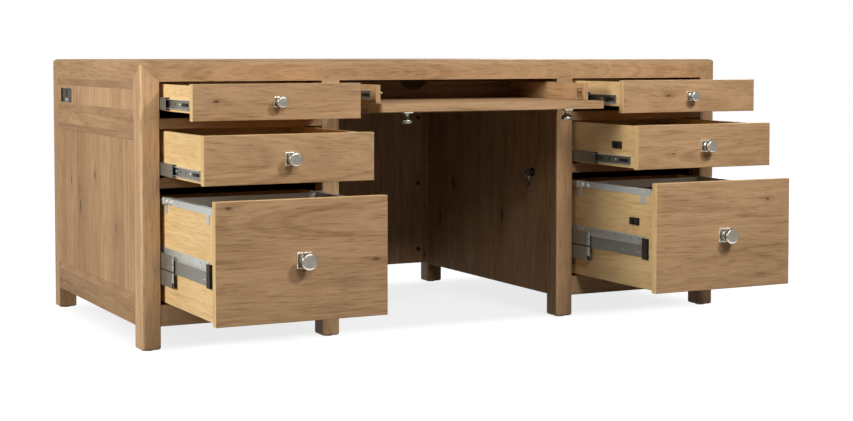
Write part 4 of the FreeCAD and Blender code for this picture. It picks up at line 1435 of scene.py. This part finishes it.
        looks = [zinc(), metal("channel_steel"), black_plastic()]
        dressed(name + "_runner_pair", node, body, looks, look)
        shape = bmesh.new()
        stud_rows(shape, both_sides(name + "_box"), cap_end, high.z, self.file_rows)
        finished(name + "_runner_holes", shape, [zinc(), black_plastic()], body)

    def file_middle_members(self, name):
        """Middle members of a file drawer: bright ends, a dark seam, a dark foot and holes."""
        node = name + "_middle_runners"
        body = name + "_middle_members"
        low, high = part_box(node)
        seam_top, seam_low = (high.z - drop for drop in self.seam)
        foot_top, foot_low = (high.z - drop for drop in self.foot)
        bright_end = low.y + self.bright_end
        foot_end = low.y + self.foot_end

        def look(place, normal):
            if abs(normal.x) <= FACING:
                return 1
            if place.y < foot_end and place.z < foot_top:
                return 2 if place.z < foot_low else 0
            if seam_low < place.z < seam_top:
                return 2
            return 0 if place.y < bright_end else 1

        cuts = [(1, (bright_end, foot_end)), (2, (seam_top, seam_low, foot_top, foot_low))]
        looks = [zinc(), steel(), black_plastic()]
        dressed(name + "_member_pair", node, body, looks, look, cuts)
        shape = bmesh.new()
        stud_rows(shape, both_sides(name + "_box"), low.y, high.z, self.file_middle_rows)
        finished(name + "_member_holes", shape, [black_plastic()], body)


class DESK_OT_fittings(bpy.types.Operator):
    """Finish the hanging rails, lock, outlet, catches and the remaining fittings"""

    bl_idname = "desk.fittings"
    bl_label = "Fittings"

    # hanging rails: the knuckle's pin and two lobes at the rear end, and a rivet at the front end
    rear_rows = (
        dict(out=0.0, along=(-0.0105,), drop=0.0105, radius=0.0022, height=0.0002, look=0, crown=1.0),
        dict(out=-0.007, along=(-0.022,), drop=0.0105, radius=0.0100, height=0.0062, look=1, crown=0.72, drawn=1.9),
        dict(out=-0.007, along=(-0.054,), drop=0.0110, radius=0.0085, height=0.0045, look=1, crown=0.72, drawn=1.5),
    )
    front_rows = (
        dict(out=-0.007, along=(0.036,), drop=0.0110, radius=0.0035, height=0.0010, look=1, crown=0.7),
    )
    # spare key: heights between which its bow lies, and half the bow's thickness
    bow_span = (0.021, 0.0440)
    bow_half = 0.0016
    key_reach = 0.001
    # metal port of the outlet: depth, half width, height of its middle and half height
    port_depth = 0.0055
    port_half_width = 0.0225
    port_level = 0.0075
    port_half_height = 0.006

    def execute(self, context):
        for name in file_drawers:
            self.hanging_rails(name)
        self.lock()
        self.outlet()
        finishes = {"satin_nickel": nickel(), "zinc_steel": zinc(), "black_plastic": black_plastic()}
        special = {"tray_hinge_leaves": metal("bronzed_leaf"), "joining_bolts": black_plastic()}
        for name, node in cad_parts.items():
            if node.hide_render:
                continue
            for holder in node.material_slots:
                kind = holder.material.name.split(".")[0]
                if kind not in finishes:
                    raise RuntimeError(f"{node.name} is left in {kind}")
                holder.material = special.get(name, finishes[kind])
        return {"FINISHED"}

    def hanging_rails(self, name):
        """Grey rails that hanging files rest on, with a dark pin, lobes and a rivet at each side."""
        node = name + "_hanging_rails"
        body = name + "_drawer"
        grey = metal("matt_grey_rail")
        low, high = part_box(node)
        dressed(name + "_file_rails", node, body, [grey], lambda place, normal: 0)
        shape = bmesh.new()
        stud_rows(shape, both_sides(node), high.y, high.z, self.rear_rows)
        stud_rows(shape, both_sides(node), low.y, high.z, self.front_rows)
        finished(name + "_rail_pins", shape, [black_plastic(), grey], body)

    def lock(self):
        """Lock with its key and the spare key: black rose and bows, pale blades."""
        looks = [nickel(), black_plastic()]
        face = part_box("lock_housing")[0].x
        dressed("lock_rose", "lock_housing", "carcase", looks, lambda place, normal: 1)

        def key_look(place, normal):
            return 1 if place.x < face - self.key_reach else 0

        dressed("lock_key", "lock_plug_and_key", "lock_plug", looks, key_look)
        low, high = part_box("spare_key")
        middle = (low.y + high.y) / 2
        bow_low, bow_high = self.bow_span

        def spare_look(place, normal):
            bow = bow_low < place.z - low.z < bow_high and abs(place.y - middle) < self.bow_half
            return 1 if bow else 0

        cuts = [(2, (low.z + bow_low,))]
        dressed("spare_key_set", "spare_key", "spare_key", looks, spare_look, cuts)

    def outlet(self):
        """Power outlet in the end panel, with its metal port."""
        low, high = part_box("power_outlet")
        middle = (low.y + high.y) / 2

        def look(place, normal):
            across = abs(place.y - middle) < self.port_half_width
            level = abs(place.z - low.z - self.port_level) < self.port_half_height
            return 1 if place.x < low.x + self.port_depth and across and level else 0

        looks = [plastic("outlet_grey_moulded"), steel()]
        dressed("outlet_plate", "power_outlet", "carcase", looks, look)


class DESK_OT_stage(bpy.types.Operator):
    """Set the floor, the light and the camera"""

    bl_idname = "desk.stage"
    bl_label = "Floor, light and camera"

    # place, aim, side and colour of each square light
    lamps = {
        "key": ((0.63, -2.95, 2.44), (0.0, -0.4, 0.35), 0.45, (1.0, 1.0, 1.0)),
        "side": ((-5.0, -1.05, 2.2), (-0.5, 0.0, 0.35), 1.8, (1.0, 0.965, 0.88)),
        "front": ((-0.75, -5.5, 3.5), (-0.2, -0.3, 0.35), 1.5, (1.0, 1.0, 1.0)),
        "back": ((3.6, 4.4, 1.4), (0.3, 0.4, 0.35), 1.8, (1.0, 1.0, 1.0)),
    }
    sensor_width = 36.0
    # floor: half its size, its greys as light meets it and as it is seen, and its glow from the desk outwards, dimmer
    # over the desk's footprint as a painted shadow and rising to white beyond
    floor_reach = 30.0
    floor_grey = 0.17
    seen_grey = 0.15
    glow = (0.80, 1.0)
    glow_width = 0.17
    inset_x = 0.10
    inset_y = 0.11

    def execute(self, context):
        look = context.scene.desk_stage
        context.scene.view_settings.view_transform = "Standard"
        self.floor()
        self.surround(context.scene, look)
        for name, values in self.lamps.items():
            self.lamp(name + "_light", getattr(look, name + "_power"), *values)
        lens = bpy.data.cameras.new("desk_camera")
        lens.lens = look.lens
        lens.sensor_width = self.sensor_width
        lens.shift_y = look.shift
        camera = bpy.data.objects.new("desk_camera", lens)
        camera.location = look.camera_place
        camera.rotation_euler = (math.radians(90) - look.camera_pitch, 0.0, -look.camera_yaw)
        context.scene.collection.objects.link(camera)
        context.scene.camera = camera
        return {"FINISHED"}

    def floor(self):
        """Pale floor that shows white, with a painted shadow over the desk's footprint, and keeps the desk's shadow."""
        shape = bmesh.new()
        bmesh.ops.create_grid(shape, x_segments=1, y_segments=1, size=self.floor_reach)
        mesh = bpy.data.meshes.new("floor")
        shape.to_mesh(mesh)
        shape.free()
        floor = bpy.data.objects.new("floor", mesh)
        bpy.context.scene.collection.objects.link(floor)
        material = bpy.data.materials.new("pale_floor")
        material.use_nodes = True
        tree = material.node_tree
        tree.nodes.clear()
        w = Wiring(tree)

        # distance from the carcase's footprint, over which the floor grows from its painted shadow to white
        high = cad_box[1]
        middle, half = (high.y + CARCASE_FRONT) / 2, (high.y - CARCASE_FRONT) / 2
        x, y, _ = w.split(w.place())
        beside = w.larger(w.minus(w.math("ABSOLUTE", x), high.x - self.inset_x), 0.0)
        ahead = w.math("ABSOLUTE", w.minus(y, middle))
        ahead = w.larger(w.minus(ahead, half - self.inset_y), 0.0)
        strength = w.ramp(w.length(beside, ahead), 0.0, self.glow_width, *self.glow)

        plain = w.put("ShaderNodeBsdfDiffuse", {"Color": opaque([self.floor_grey] * 3)})
        pale = w.put("ShaderNodeBsdfDiffuse", {"Color": opaque([self.seen_grey] * 3)})
        shown = w.put("ShaderNodeAddShader", {0: pale, 1: w.put("ShaderNodeEmission", {"Strength": strength})})
        surface = w.put("ShaderNodeMixShader", {0: w.seen_directly(), 1: plain, 2: shown})
        w.put("ShaderNodeOutputMaterial", {"Surface": surface})
        mesh.materials.append(material)

    def surround(self, scene, look):
        """White behind the desk and a little light from all round."""
        world = bpy.data.worlds.new("studio")
        world.use_nodes = True
        world.node_tree.nodes.clear()
        w = Wiring(world.node_tree)
        paint = opaque((1.0, 1.0, 1.0))
        white = w.put("ShaderNodeBackground", {"Color": paint, "Strength": 1.0})
        dim = w.put("ShaderNodeBackground", {"Color": paint, "Strength": look.surround})
        surface = w.put("ShaderNodeMixShader", {0: w.seen_directly(), 1: dim, 2: white})
        w.put("ShaderNodeOutputWorld", {"Surface": surface})
        scene.world = world

    def lamp(self, name, power, place, aim, side, colour):
        """A soft square light."""
        data = bpy.data.lights.new(name, "AREA")
        data.shape = "RECTANGLE"
        data.size = data.size_y = side
        data.energy = power
        data.color = colour
        light = bpy.data.objects.new(name, data)
        light.location = place
        light.rotation_euler = (Vector(aim) - Vector(place)).to_track_quat("-Z", "Y").to_euler()
        bpy.context.scene.collection.objects.link(light)


class DESK_PT_build(bpy.types.Panel):
    """The desk's pieces in the order they are dressed"""

    bl_idname = "DESK_PT_build"
    bl_label = "Oak pedestal desk"
    bl_space_type = "VIEW_3D"
    bl_region_type = "UI"
    bl_category = "Desk"

    def draw(self, context):
        for group in (context.scene.desk_wood, context.scene.desk_metal, context.scene.desk_stage):
            for key in group.__annotations__:
                self.layout.prop(group, key)
        for operator in operators:
            self.layout.operator(operator.bl_idname)


operators = (
    DESK_OT_top,
    DESK_OT_posts,
    DESK_OT_frames,
    DESK_OT_panels,
    DESK_OT_fronts,
    DESK_OT_boxes,
    DESK_OT_tray,
    DESK_OT_knobs,
    DESK_OT_runners,
    DESK_OT_fittings,
    DESK_OT_stage,
)
looks = {"desk_wood": DeskWood, "desk_metal": DeskMetal, "desk_stage": DeskStage}


def register():
    for kind in (*looks.values(), *operators, DESK_PT_build):
        bpy.utils.register_class(kind)
    for name, kind in looks.items():
        setattr(bpy.types.Scene, name, bpy.props.PointerProperty(type=kind))


def unregister():
    for name in looks:
        delattr(bpy.types.Scene, name)
    for kind in (DESK_PT_build, *reversed(operators), *reversed(looks.values())):
        bpy.utils.unregister_class(kind)


def main():
    register()
    bpy.ops.desk.top()
    bpy.ops.desk.posts()
    bpy.ops.desk.frames()
    bpy.ops.desk.panels()
    bpy.ops.desk.fronts()
    bpy.ops.desk.boxes()
    bpy.ops.desk.tray()
    bpy.ops.desk.knobs()
    bpy.ops.desk.runners()
    bpy.ops.desk.fittings()
    bpy.ops.desk.stage()


if __name__ == "__main__":
    main()
